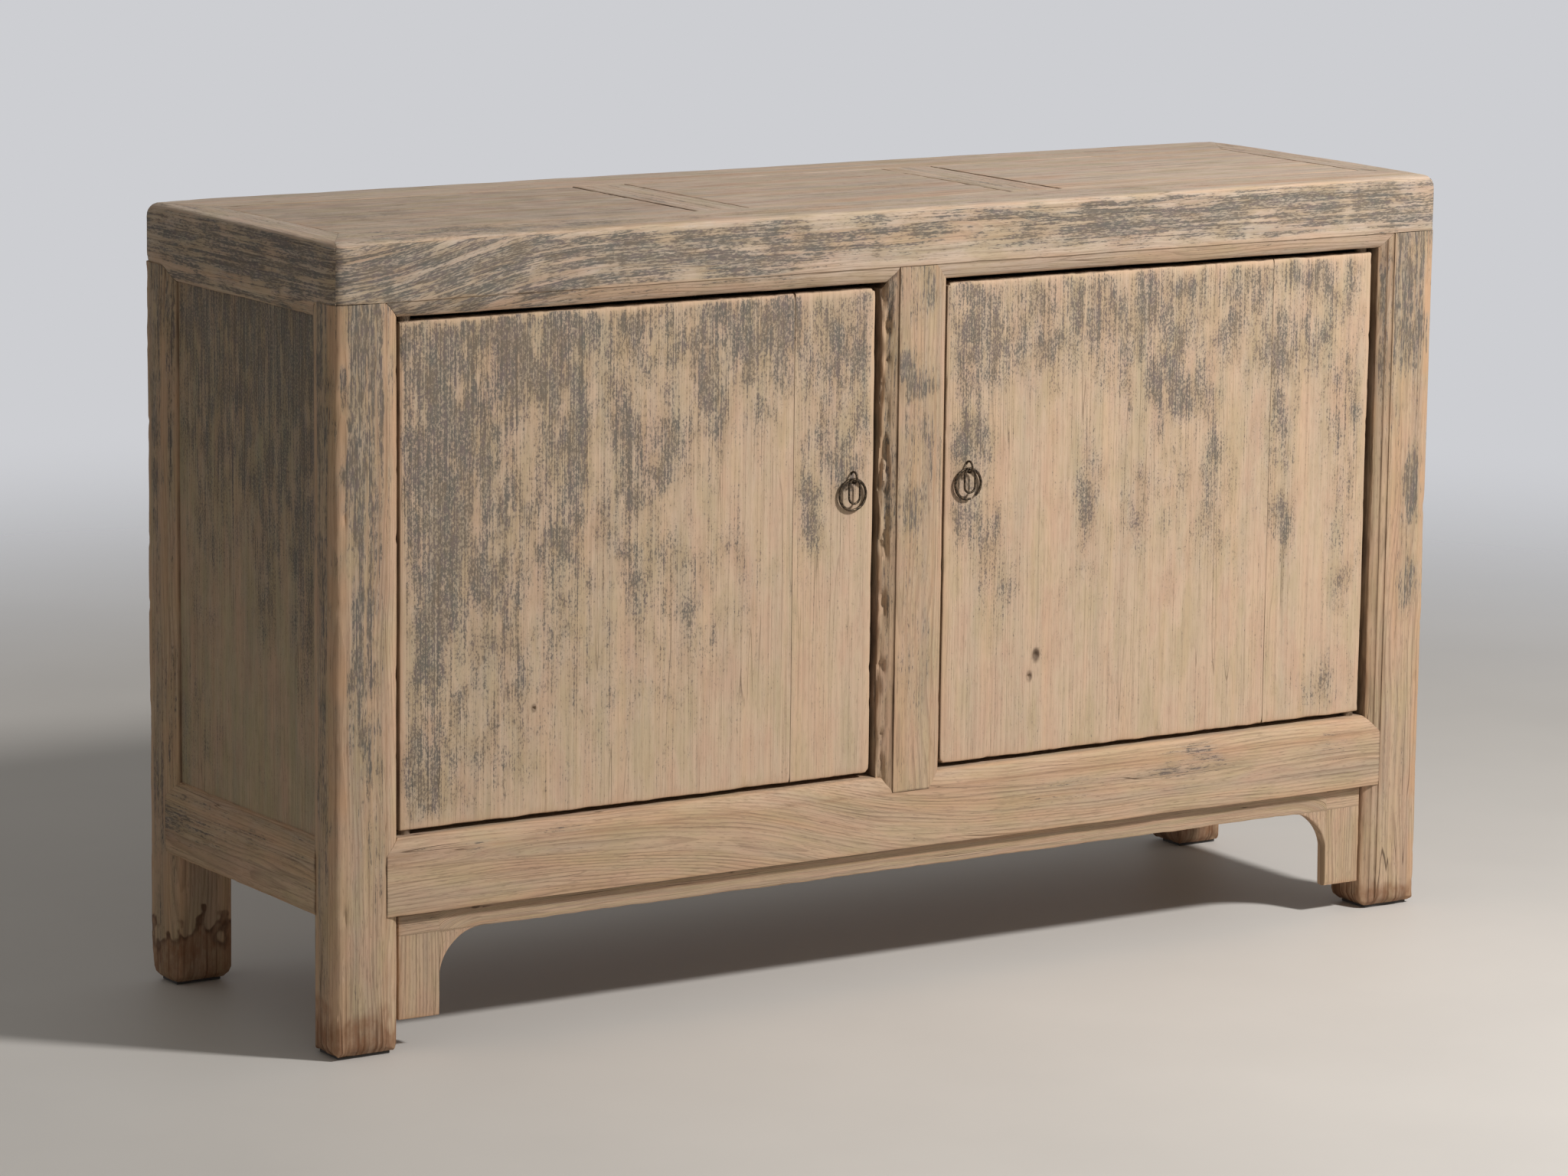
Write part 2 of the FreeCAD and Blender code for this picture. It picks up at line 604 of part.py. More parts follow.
def cross_rail(side):
    """Make one cross rail about its own middle line and set it in its place along the top."""
    rail = new_body(f"top_cross_rail_{side}")
    half = "(cross_rail_width / 2)"
    inner_y = (TOP_FRONT_INNER, TOP_BACK_INNER)
    box(rail, "Additive", ((f"-{half}", half), inner_y, ("case_height - cross_rail_height", "case_height")))
    tenon_y = (f"{TOP_FRONT_INNER} - cross_tenon_length", f"{TOP_BACK_INNER} + cross_tenon_length")
    box(rail, "Additive", (CROSS_TENON_X, tenon_y, CROSS_TENON_Z))
    groove_y = (f"{TOP_FRONT_INNER} - overrun", f"{TOP_BACK_INNER} + overrun")
    groove = ((f"{half} - tongue_length - joint_play", f"{half} + overrun"), groove_y, widened(TOP_TONGUE))
    box(rail, "Subtractive", groove)
    box(rail, "Subtractive", flipped(groove))
    place(rail, (CROSS_PLACES[side], "0", "0"))
    return rail


def top_panel(label, low_x, high_x):
    """Make one flush top panel whose lower tongue runs in the grooves all round it."""
    panel = new_body(label)
    face = ((f"{low_x} + panel_line", f"{high_x} - panel_line"),
            (f"{TOP_FRONT_INNER} + panel_line", f"{TOP_BACK_INNER} - panel_line"), (PANEL_LOW, "case_height"))
    box(panel, "Additive", face)
    tongue = ((f"{low_x} - tongue_length", f"{high_x} + tongue_length"),
              (f"{TOP_FRONT_INNER} - tongue_length", f"{TOP_BACK_INNER} + tongue_length"), TOP_TONGUE)
    box(panel, "Additive", tongue)
    return panel


def centre_stile():
    """Make the post between the doors, moulded both ways, with mitred ears over both rails."""
    stile = new_body("centre_stile")
    box(stile, "Additive", ((f"-{STILE_SIDE}", STILE_SIDE), (FRONT, f"{FRONT} + stile_depth"), (SILL, HEAD)))
    ears = [
        (f"-{STILE_SIDE}", SILL), (f"-{STILE_FLAT}", SILL_FLAT), (STILE_FLAT, SILL_FLAT), (STILE_SIDE, SILL),
        (STILE_SIDE, HEAD), (STILE_FLAT, SHOULDER), (f"-{STILE_FLAT}", SHOULDER), (f"-{STILE_SIDE}", HEAD),
    ]
    prism(stile, "Pad", "Y", ears, FRONT, FRONT_EAR)
    tenon_rise = (LOWER_STILE_TENON[0], UPPER_STILE_TENON[1])
    box(stile, "Additive", (STILE_TENON_X, FRONT_TENON, tenon_rise))
    rise = (f"{SILL_FLAT} - overrun", f"{SHOULDER} + overrun")
    prism(stile, "Pocket", "Z", moulding_waste(STILE_FLAT, "+", FRONT, "+", False), *rise)
    prism(stile, "Pocket", "Z", moulding_waste(f"-{STILE_FLAT}", "-", FRONT, "+", False), *rise)
    return stile


def back_stile():
    """Make the post between the back panels, grooved on both edges."""
    stile = new_body("back_centre_stile")
    side_x = (f"-{BACK_STILE_SIDE}", BACK_STILE_SIDE)
    box(stile, "Additive", (side_x, (f"{BACK} - back_stile_depth", BACK), (SILL, HEAD)))
    tenon_rise = (LOWER_STILE_TENON[0], UPPER_STILE_TENON[1])
    box(stile, "Additive", (BACK_STILE_TENON_X, BACK_TENON, tenon_rise))
    reach = (f"{BACK_STILE_SIDE} - tongue_length - joint_play", f"{BACK_STILE_SIDE} + overrun")
    groove = (reach, widened(BACK_PANEL), (f"{SILL} - overrun", f"{HEAD} + overrun"))
    box(stile, "Subtractive", groove)
    box(stile, "Subtractive", flipped(groove))
    return stile


def bottom_front_rail():
    """Make the low front rail: moulded sill, mitred ears over the legs and the lower pin holes."""
    rail = new_body("bottom_front_rail")
    box(rail, "Additive", ((JAMB, f"-{JAMB}"), (FRONT, BEARER_FRONT), ("rail_ground", SILL)))
    ears = [
        (FLAT_X, "rail_ground"), (f"-{FLAT_X}", "rail_ground"), (f"-{FLAT_X}", SILL_FLAT),
        (f"-{JAMB}", SILL), (JAMB, SILL), (FLAT_X, SILL_FLAT),
    ]
    prism(rail, "Pad", "Y", ears, FRONT, FRONT_EAR)
    box(rail, "Additive", FRONT_RAIL_TENON)
    box(rail, "Additive", flipped(FRONT_RAIL_TENON))
    prism(rail, "Pocket", "X", moulding_waste(SILL_FLAT, "+", FRONT, "+", True), LEFT, RIGHT)
    stile_ear = [
        (f"-{STILE_SIDE} - overrun", f"{SILL} + overrun"), (f"-{STILE_FLAT}", SILL_FLAT),
        (STILE_FLAT, SILL_FLAT), (f"{STILE_SIDE} + overrun", f"{SILL} + overrun"),
    ]
    prism(rail, "Pocket", "Y", stile_ear, f"{FRONT} - overrun", FRONT_EAR)
    box(rail, "Subtractive", [widened(span) for span in (STILE_TENON_X, FRONT_TENON, LOWER_STILE_TENON)])
    cut_pin_holes(rail, f"{SILL} - pivot_seat - pivot_end_play", f"{SILL} + overrun")
    bearer_y = (f"{BEARER_FRONT} - bearer_tenon_length", f"{BEARER_FRONT} + overrun")
    box(rail, "Subtractive", [widened(span) for span in (BEARER_TENON_X, bearer_y, BEARER_TENON_Z)])
    tongue_x, tongue_y, tongue_z = APRON_TONGUE
    groove_z = (f"{tongue_z[0]} - overrun", f"{tongue_z[1]} + joint_play")
    box(rail, "Subtractive", (widened(tongue_x), widened(tongue_y), groove_z))
    return rail


def bottom_side_rail():
    """Make the left low rail, moulded along its top and grooved for the side panel."""
    rail = new_body("bottom_side_rail_left")
    box(rail, "Additive", ((LEFT, f"{LEFT} + side_rail_depth"), (SIDE_FRONT, SIDE_BACK), ("rail_ground", SILL)))
    ears = [
        (FLAT_FRONT, "rail_ground"), (FLAT_BACK, "rail_ground"), (FLAT_BACK, SILL_FLAT),
        (SIDE_BACK, SILL), (SIDE_FRONT, SILL), (FLAT_FRONT, SILL_FLAT),
    ]
    prism(rail, "Pad", "X", ears, LEFT, LEFT_EAR)
    box(rail, "Additive", SIDE_TENON_FRONT)
    box(rail, "Additive", SIDE_TENON_BACK)
    prism(rail, "Pocket", "Y", moulding_waste(SILL_FLAT, "+", LEFT, "+", True), FRONT, BACK)
    groove_rise = (f"{SILL} - tongue_length - joint_play", f"{SILL} + overrun")
    box(rail, "Subtractive", (widened(SIDE_PANEL), (FRONT, BACK), groove_rise))
    return rail


def bottom_back_rail():
    """Make the low back rail, plain, grooved for the back panels."""
    rail = new_body("bottom_back_rail")
    box(rail, "Additive", ((BACK_JAMB, f"-{BACK_JAMB}"), (BEARER_BACK, BACK), ("rail_ground", SILL)))
    box(rail, "Additive", BACK_RAIL_TENON)
    box(rail, "Additive", flipped(BACK_RAIL_TENON))
    groove_rise = (f"{SILL} - tongue_length - joint_play", f"{SILL} + overrun")
    box(rail, "Subtractive", ((LEFT, RIGHT), widened(BACK_PANEL), groove_rise))
    tenon = (BACK_STILE_TENON_X, BACK_TENON, LOWER_STILE_TENON)
    box(rail, "Subtractive", [widened(span) for span in tenon])
    bearer_y = (f"{BEARER_BACK} - overrun", f"{BEARER_BACK} + bearer_tenon_length")
    box(rail, "Subtractive", [widened(span) for span in (BEARER_TENON_X, bearer_y, BEARER_TENON_Z)])
    return rail


def flat_panel(label, spans):
    """Make a plain board panel held in grooves all round."""
    panel = sub_part(doc.addObject("Part::Box", label), label)
    for side, (low, high) in zip(("Length", "Width", "Height"), spans):
        bind(panel, side, f"({high}) - ({low})")
    place(panel, [low for low, high in spans])
    return panel


PANEL_RISE = (f"{SILL} - tongue_length", f"{HEAD} + tongue_length")
APRON_FRONT = f"({FRONT} + apron_recess)"
APRON_X = (f"{JAMB} + apron_end_line", f"-{JAMB} - apron_end_line")
APRON_Y = (APRON_FRONT, f"{APRON_FRONT} + apron_thickness")
APRON_TONGUE = (
    APRON_X,
    (f"{APRON_FRONT} + apron_tongue_cheek", f"{APRON_FRONT} + apron_thickness - apron_tongue_cheek"),
    ("rail_ground", "rail_ground + apron_tongue_height"),
)


def front_apron():
    """Make the apron board: a strip with a square bracket at each end and a round inner corner."""
    apron = new_body("front_apron")
    box(apron, "Additive", (APRON_X, APRON_Y, ("bracket_ground", "rail_ground")))
    box(apron, "Additive", APRON_TONGUE)
    strip_low = "(rail_ground - apron_strip)"
    arch_side = f"({JAMB} + apron_end_line + bracket_width)"
    arc_x = f"({arch_side} + apron_arc)"
    arc_z = f"({strip_low} - apron_arc)"
    through = (f"{APRON_FRONT} - overrun", f"{APRON_FRONT} + apron_thickness + overrun")
    box(apron, "Subtractive", ((arch_side, f"-{arch_side}"), through, ("0", arc_z)))
    box(apron, "Subtractive", ((arc_x, f"-{arc_x}"), through, ("0", strip_low)))
    for centre_x in (arc_x, f"-{arc_x}"):
        cylinder(apron, "Subtractive", "Y", (centre_x, arc_z), "apron_arc", *through)
    return apron


def floor_board(name, low_y, high_y, notches):
    """Make one board of the floor, notched round the posts that it passes."""
    board = new_body(f"floor_board_{name}")
    side = f"({SIDE_PANEL[1]} + joint_play)"
    box(board, "Additive", ((side, f"-{side}"), (low_y, high_y), (SILL, f"{SILL} + floor_thickness")))
    rise = (f"{SILL} - overrun", f"{SILL} + floor_thickness + overrun")
    for notch_x, notch_y in notches:
        box(board, "Subtractive", (notch_x, notch_y, rise))
    return board


def floor_bearer():
    """Make the bearer that carries the floor boards across the middle."""
    bearer = new_body("floor_bearer")
    side_x = ("-bearer_width / 2", "bearer_width / 2")
    box(bearer, "Additive", (side_x, (BEARER_FRONT, BEARER_BACK), (BEARER_LOW, SILL)))
    tenon_y = (f"{BEARER_FRONT} - bearer_tenon_length", f"{BEARER_BACK} + bearer_tenon_length")
    box(bearer, "Additive", (BEARER_TENON_X, tenon_y, BEARER_TENON_Z))
    return bearer


def floor():
    """Lay three boards from the doors to the back; the front one's edge stops the doors."""
    width = f"(({FLOOR_BACK} - {FLOOR_FRONT}) / 3)"
    first_seam = f"({FLOOR_FRONT} + {width})"
    second_seam = f"({FLOOR_BACK} - {width})"
    leg_notch = ((LEFT, f"{JAMB} + joint_play"), (FRONT, f"{SIDE_FRONT} + joint_play"))
    back_leg_notch = ((LEFT, f"{BACK_JAMB} + joint_play"), (f"{SIDE_BACK} - joint_play", BACK))
    heel_x = f"({PIVOT_X} + {DOOR_HEEL})"
    heel_notch = ((LEFT, heel_x), (FRONT, f"{PIVOT_Y} + {DOOR_HEEL} + stop_gap"))
    stile_notch = (widened((f"-{STILE_SIDE}", STILE_SIDE)), (FRONT, f"{FRONT} + stile_depth + joint_play"))
    back_stile_notch = (widened((f"-{BACK_STILE_SIDE}", BACK_STILE_SIDE)),
                        (f"{BACK} - back_stile_depth - joint_play", BACK))
    front_notches = (leg_notch, flipped(leg_notch), heel_notch, flipped(heel_notch), stile_notch)
    back_notches = (back_leg_notch, flipped(back_leg_notch), back_stile_notch)
    floor_board("front", FLOOR_FRONT, first_seam, front_notches)
    floor_board("middle", first_seam, second_seam, ())
    floor_board("back", second_seam, FLOOR_BACK, back_notches)
    floor_bearer()


BATTEN_LEVELS = {
    "lower": f"({DOOR_LOW} + batten_inset + batten_width / 2)",
    "upper": f"({DOOR_HIGH} - batten_inset - batten_width / 2)",
}
BATTEN_X = (f"{DOOR_OUTER} + batten_reach", f"{DOOR_INNER} - batten_reach")


def batten_outline(level, play, back):
    """Outline a batten's dovetail section, opened by a play, out to a place at its back."""
    middle = BATTEN_LEVELS[level]
    root = f"{DOOR_BACK} - batten_housing - {play}"
    wide = f"(batten_width / 2 + {play})"
    narrow = f"(batten_width / 2 - batten_flare + {play})"
    return [
        (root, f"{middle} - {wide}"), (DOOR_BACK, f"{middle} - {narrow}"), (back, f"{middle} - {narrow}"),
        (back, f"{middle} + {narrow}"), (DOOR_BACK, f"{middle} + {narrow}"), (root, f"{middle} + {wide}"),
    ]


def batten(level):
    """Make one of the left door's dovetailed battens."""
    bar = new_body(f"door_left_batten_{level}")
    prism(bar, "Pad", "X", batten_outline(level, "0", f"{DOOR_BACK} + batten_proud"), *BATTEN_X)
    return bar


DOOR_SEAMS = {
    "left": f"({DOOR_INNER} - left_pull_board_width)",
    "right": f"({DOOR_OUTER} + right_pin_board_width)",
}


def door_board(label, side, spans):
    """Saw out one door board, in the left door's places, and house it for the battens."""
    board = new_body(label)
    box(board, "Additive", spans if side == "left" else flipped(spans))
    return board


def soften_board(board, seam_x):
    """Round a door board's face arrises, but not along the seam between the boards."""
    front, back = amount(DOOR_FRONT), amount(DOOR_BACK)

    def is_arris(edge):
        on_face = on_lines(edge, y=front) or on_lines(edge, y=back)
        return on_face and not on_lines(edge, x=seam_x)

    soften(board, "Fillet", "door_arris", is_arris)


def house_battens(board, side):
    """Cut the dovetailed housings of both battens into a door board."""
    span = widened(BATTEN_X)
    low, high = span if side == "left" else flipped([span])[0]
    for level in BATTEN_LEVELS:
        housing = batten_outline(level, "joint_play", f"{DOOR_BACK} + overrun")
        prism(board, "Pocket", "X", housing, low, high)


def door_boards(side):
    """Make a door's pin board, hung at its outer edge, and its pull board beside it."""
    sign = "" if side == "left" else "-"
    seam = DOOR_SEAMS[side]
    seam_side = {"pin": f"({seam} - seam_line / 2)", "pull": f"({seam} + seam_line / 2)"}
    depth, rise = (DOOR_FRONT, DOOR_BACK), (DOOR_LOW, DOOR_HIGH)

    pin_board = door_board(f"door_{side}_pin_board", side, ((DOOR_OUTER, seam_side["pin"]), depth, rise))
    soften_board(pin_board, amount(sign + seam_side["pin"]))
    pin_centre = (sign + PIVOT_X, PIVOT_Y)
    lower_pin = (f"{SILL} - pivot_seat", f"{DOOR_LOW} + overrun")
    upper_pin = (f"{DOOR_HIGH} - overrun", f"{HEAD} + pivot_seat")
    for low, high in (lower_pin, upper_pin):
        cylinder(pin_board, "Additive", "Z", pin_centre, "pivot_radius", low, high)
    house_battens(pin_board, side)

    pull_board = door_board(f"door_{side}_pull_board", side, ((seam_side["pull"], DOOR_INNER), depth, rise))
    edge_x = amount(sign + DOOR_INNER)
    low_z, high_z = amount(DOOR_LOW), amount(DOOR_HIGH)
    soften(pull_board, "Fillet", "door_corner",
           lambda edge: on_lines(edge, x=edge_x, z=low_z) or on_lines(edge, x=edge_x, z=high_z))
    soften_board(pull_board, amount(sign + seam_side["pull"]))
    house_battens(pull_board, side)
    pull_x = sign + PULL_X
    hole = (f"{DOOR_FRONT} - overrun", f"{DOOR_BACK} + overrun")
    cylinder(pull_board, "Subtractive", "Y", (pull_x, "pull_height"), "2 * eye_wire + joint_play", *hole)
    dent = (f"{pull_x} - eye_wire - joint_play", f"{pull_x} + eye_wire + joint_play")
    dent_radius = "eye_radius + eye_wire + joint_play"
    cylinder(pull_board, "Subtractive", "X", (EYE_Y, "pull_height"), dent_radius, *dent)


ACROSS_TO_X = FreeCAD.Rotation(FreeCAD.Vector(0, 1, 0), 90)
UP_TO_BACK = FreeCAD.Rotation(FreeCAD.Vector(1, 0, 0), -90)
BACK_TO_UP = FreeCAD.Rotation(FreeCAD.Vector(1, 0, 0), 90)


def round_bar(radius, length, corner, rotation=None):
    """Make a plain round bar that a fused piece uses."""
    bar = doc.addObject("Part::Cylinder", "Bar")
    bind(bar, "Radius", radius)
    bind(bar, "Height", length)
    place(bar, corner, rotation)
    return bar


def ball(radius, centre):
    """Make the round elbow between two bars."""
    elbow = doc.addObject("Part::Sphere", "Elbow")
    bind(elbow, "Radius", radius)
    place(elbow, centre)
    return elbow


def hoop(radius, wire, centre, rotation, sweep=360):
    """Make a round hoop, or part of one, of bent wire."""
    torus = doc.addObject("Part::Torus", "Hoop")
    bind(torus, "Radius1", radius)
    bind(torus, "Radius2", wire)
    torus.Angle3 = sweep
    place(torus, centre, rotation)
    return torus


def fused(label, pieces):
    """Weld plain shapes into one piece."""
    whole = sub_part(doc.addObject("Part::MultiFuse", label), label)
    whole.Shapes = pieces
    return whole


def pull_eye():
    """Make the split pin: an eye before the door and two legs clinched up and down behind it."""
    pieces = [hoop("eye_radius", "eye_wire", (PULL_X, EYE_Y, "pull_height"), ACROSS_TO_X)]
    start = f"({EYE_Y} + eye_radius - eye_wire / 2)"
    clinch_y = f"({DOOR_BACK} + eye_wire + joint_play / 2)"
    for sign in ("+", "-"):
        level = f"pull_height {sign} (eye_wire + joint_play / 2)"
        pieces.append(round_bar("eye_wire", f"{clinch_y} - {start}", (PULL_X, start, level), UP_TO_BACK))
        pieces.append(ball("eye_wire", (PULL_X, clinch_y, level)))
        foot = level if sign == "+" else f"{level} - clinch_length"
        pieces.append(round_bar("eye_wire", "clinch_length", (PULL_X, clinch_y, foot)))
    return fused("pull_eye_left", pieces)


def pull_ring():
    """Make the round ring that hangs in the eye, next to the door."""
    centre = (PULL_X, f"{EYE_Y} + hang_spread", f"{HANG_HEIGHT} - ring_radius")
    return sub_part(hoop("ring_radius", "ring_wire", centre, BACK_TO_UP), "pull_ring_left")


def pull_link():
    """Make the oval link that hangs in the eye before the ring."""
    link_y = f"({EYE_Y} - hang_spread)"
    upper = f"({HANG_HEIGHT} - link_radius)"
    lower = f"({HANG_HEIGHT} - link_reach + link_radius)"
    pieces = [
        hoop("link_radius", "link_wire", (PULL_X, link_y, upper), BACK_TO_UP, sweep=180),
        hoop("link_radius", "link_wire", (PULL_X, link_y, lower), UP_TO_BACK, sweep=180),
    ]
    for sign in ("+", "-"):
        corner = (f"{PULL_X} {sign} link_radius", link_y, lower)
        pieces.append(round_bar("link_wire", f"{upper} - {lower}", corner))
    return fused("pull_link_left", pieces)


def build_frame():
    """Make the legs, pads, top frame, rails and posts."""
    mirrored(front_leg(), "leg_front_right")
    blank = back_leg()
    worn_back_leg(blank)
    mirrored(blank, "leg_back_right")
    mirrored(foot_pad("foot_pad_front_left", JAMB, FRONT, SIDE_FRONT), "foot_pad_front_right")
    back_pad = foot_pad("foot_pad_back_left", BACK_JAMB, SIDE_BACK, f"({BACK} - worn_foot_run + pad_inset)")
    mirrored(back_pad, "foot_pad_back_right")
    top_front_rail()
    top_back_rail()
    mirrored(top_end_rail(), "top_end_rail_right")
    centre_stile()
    back_stile()
    bottom_front_rail()
    mirrored(bottom_side_rail(), "bottom_side_rail_right")
    bottom_back_rail()
    front_apron()


def build_panels():
    """Make the cross rails, the panels and the floor."""
    for side in CROSS_PLACES:
        cross_rail(side)
    half = "cross_rail_width / 2"
    left, right = CROSS_PLACES["left"], CROSS_PLACES["right"]
    top_panel("top_panel_left", TOP_END_INNER, f"({left} - {half})")
    top_panel("top_panel_middle", f"({left} + {half})", f"({right} - {half})")
    top_panel("top_panel_right", f"({right} + {half})", f"(-{TOP_END_INNER})")
    side_y = (f"{SIDE_FRONT} - tongue_length", f"{SIDE_BACK} + tongue_length")
    mirrored(flat_panel("side_panel_left", (SIDE_PANEL, side_y, PANEL_RISE)), "side_panel_right")
    back_x = (f"{BACK_JAMB} - tongue_length", f"-{BACK_STILE_SIDE} + tongue_length")
    mirrored(flat_panel("back_panel_left", (back_x, BACK_PANEL, PANEL_RISE)), "back_panel_right")
    floor()


def build_doors():
    """Make both doors with their battens and iron pulls."""
    for side in ("left", "right"):
        door_boards(side)
    for level in BATTEN_LEVELS:
        mirrored(batten(level), f"door_right_batten_{level}")
    mirrored(pull_eye(), "pull_eye_right")
    mirrored(pull_ring(), "pull_ring_right")
    mirrored(pull_link(), "pull_link_right")


def check_document():
    """Stop unless every object is sound, every cut bites and every piece is valid."""
    doc.recompute()
    faults = [item.Name for item in doc.Objects if {"Invalid", "Error"} & set(item.State)]
    for body, feature, before in cuts:
        if not feature.Shape.Volume < before.Shape.Volume - LEAST_CUT:
            faults.append(f"{feature.Name} cuts nothing")
    for item in parts:
        if item.Shape.isNull() or not item.Shape.isValid() or not item.Shape.Solids:
            faults.append(f"{item.Label} has no valid solid")
    if faults:
        raise RuntimeError("faults: " + ", ".join(faults))


def export_parts():
    """Write each piece to its own STEP file, named by its label."""
    os.makedirs("parts", exist_ok=True)
    for item in parts:
        item.Shape.exportStep(f"parts/{item.Label}.step")
        print(f"{item.Label}: {item.Shape.Volume / 1000:.1f} cm3, {len(item.Shape.Solids)} solid(s)")


fill_sheet()
build_frame()
build_panels()
build_doors()
check_document()
export_parts()
print(f"{len(parts)} pieces")
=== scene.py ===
"""A kang cabinet of weathered elm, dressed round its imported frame.

The frame gives every body, node and joint. This script stands finely meshed, worn members in the
places of the sawn ones, finishes them in old elm with traces of paint, bends the iron pulls and
sets up a plain studio. Size fields are in millimetres, and meshes are made in metres. Members are
drawn as on the cabinet's left and mirrored to its right.
"""

import json
import logging
import math
import zlib
from collections.abc import Callable, Sequence
from dataclasses import dataclass, field, replace
from enum import Enum

import bpy
import numpy as np
from mathutils import Matrix, Vector

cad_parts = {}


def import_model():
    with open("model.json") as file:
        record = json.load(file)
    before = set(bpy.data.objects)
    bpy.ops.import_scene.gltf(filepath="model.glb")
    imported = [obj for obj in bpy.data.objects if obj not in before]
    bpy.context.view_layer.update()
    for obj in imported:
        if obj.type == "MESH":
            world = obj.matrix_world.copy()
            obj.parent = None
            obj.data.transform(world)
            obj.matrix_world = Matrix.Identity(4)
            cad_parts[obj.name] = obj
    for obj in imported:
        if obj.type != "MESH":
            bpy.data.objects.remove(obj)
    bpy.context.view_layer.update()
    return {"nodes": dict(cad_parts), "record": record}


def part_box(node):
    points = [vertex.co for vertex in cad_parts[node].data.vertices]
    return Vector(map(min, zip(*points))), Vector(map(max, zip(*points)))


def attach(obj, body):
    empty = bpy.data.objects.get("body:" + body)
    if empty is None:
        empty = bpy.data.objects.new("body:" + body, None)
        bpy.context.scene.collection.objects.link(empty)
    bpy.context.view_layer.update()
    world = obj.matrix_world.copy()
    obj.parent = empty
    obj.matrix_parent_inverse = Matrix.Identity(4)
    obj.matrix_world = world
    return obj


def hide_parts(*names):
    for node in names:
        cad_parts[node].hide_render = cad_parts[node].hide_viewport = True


log = logging.getLogger("kang_cabinet")

Array = np.ndarray
Socket = bpy.types.NodeSocket
Ends = Callable[[Array], tuple[Array, Array]]  # where each point of a section starts and stops
Patch = tuple[float, float, float, float, float]  # paint: across, up, wide, tall, strength, in %
Knot = tuple[float, float, float]  # X, height and radius

MM = 0.001
TINY = 1e-9
SAME_PLACE = 0.002  # points closer than this, in mm, are one
FINE_STEPS = (0.8, 2.0, 3.6, 5.6)  # how far in from an edge the mesh lines crowd
CLOSEST_LINES = 0.35
ARRIS_REACH = 2.6  # how fast an arris's wear fades across a face
SPECKLE = 30.0  # the size of the clouds that break up dirt, the dark lines and rubbing
JOINT_GAP = 0.15  # the open line that a hand-cut joint shows
CREASE = math.radians(38)  # a fold sharper than this is shaded as an edge


class Axis(Enum):
    """The direction in which a member and its grain run."""

    X = 0
    Y = 1
    Z = 2

    @property
    def across(self) -> tuple[int, int]:
        """Return the numbers of the two directions square to this one."""
        first, second = (i for i in range(3) if i != self.value)
        return first, second


class Facing(Enum):
    """Which way a face looks: its outward direction, then the directions across and up it."""

    FRONT = ((0, -1, 0), 0, 2)
    BACK = ((0, 1, 0), 0, 2)
    LEFT = ((-1, 0, 0), 1, 2)
    RIGHT = ((1, 0, 0), 1, 2)
    TOP = ((0, 0, 1), 0, 1)
    UNDER = ((0, 0, -1), 0, 1)


class Side(Enum):
    """The left or the right of the cabinet, as seen from the front."""

    LEFT = -1
    RIGHT = 1

    @property
    def word(self) -> str:
        """Return the side's name as the nodes spell it."""
        return self.name.lower()

    @property
    def outward(self) -> Facing:
        """Return the way that this side's end of the cabinet faces."""
        return Facing[self.name]

    @property
    def inward(self) -> Facing:
        """Return the way back to the cabinet's middle."""
        return Facing.RIGHT if self is Side.LEFT else Facing.LEFT


# Smooth noise


def hashed(cells: Array, seed: int) -> Array:
    """Give each lattice cell a random number.

    Args:
        cells: whole numbers, the last axis holding the three directions.
        seed: picks another set of random numbers.

    Returns:
        One number from 0 to 1 for each cell.
    """
    x, y, z = (cells[..., i].astype(np.uint64) for i in range(3))
    mixed = x * np.uint64(73856093) ^ y * np.uint64(19349663) ^ z * np.uint64(83492791)
    mixed ^= np.uint64((seed * 2654435761) & 0xFFFFFFFF)
    for shift, factor in ((13, 0x5BD1E995), (15, 0x27D4EB2D), (16, 0x165667B1)):
        mixed ^= mixed >> np.uint64(shift)
        mixed = (mixed * np.uint64(factor)) & np.uint64(0xFFFFFFFF)
    return (mixed >> np.uint64(8)).astype(float) / 0xFFFFFF


def noise(points: Array, spacing: float | Sequence[float], seed: int, octaves: int = 2) -> Array:
    """Work out smooth noise, in layers of half the spacing and half the weight.

    Args:
        points: places in mm, one row each.
        spacing: the lattice spacing in mm, or one for each direction.
        seed: picks another pattern.
        octaves: how many layers are added up.

    Returns:
        One number from 0 to 1 for each point.
    """
    total = np.zeros(len(points))
    weight = 0.0
    for octave in range(octaves):
        scaled = points / (np.array(spacing) / 2**octave)
        cell = np.floor(scaled).astype(np.int64)
        part = scaled - cell
        part = part * part * (3 - 2 * part)
        layer = np.zeros(len(points))
        for corner in np.ndindex(2, 2, 2):
            near = np.where(corner, part, 1 - part).prod(axis=1)
            layer += near * hashed(cell + np.array(corner), seed + octave)
        total += layer / 2**octave
        weight += 1 / 2**octave
    return total / weight


def seed_of(name: str) -> int:
    """Return a seed that stays the same for a piece's name."""
    return zlib.crc32(name.encode()) % 100003


# Surfaces of wooden members


@dataclass(frozen=True)
class Corner:
    """One corner of a section: its place, how far it is eased and how much it wears."""

    across: float
    up: float
    ease: float = 0.5
    wear: float = 0.0


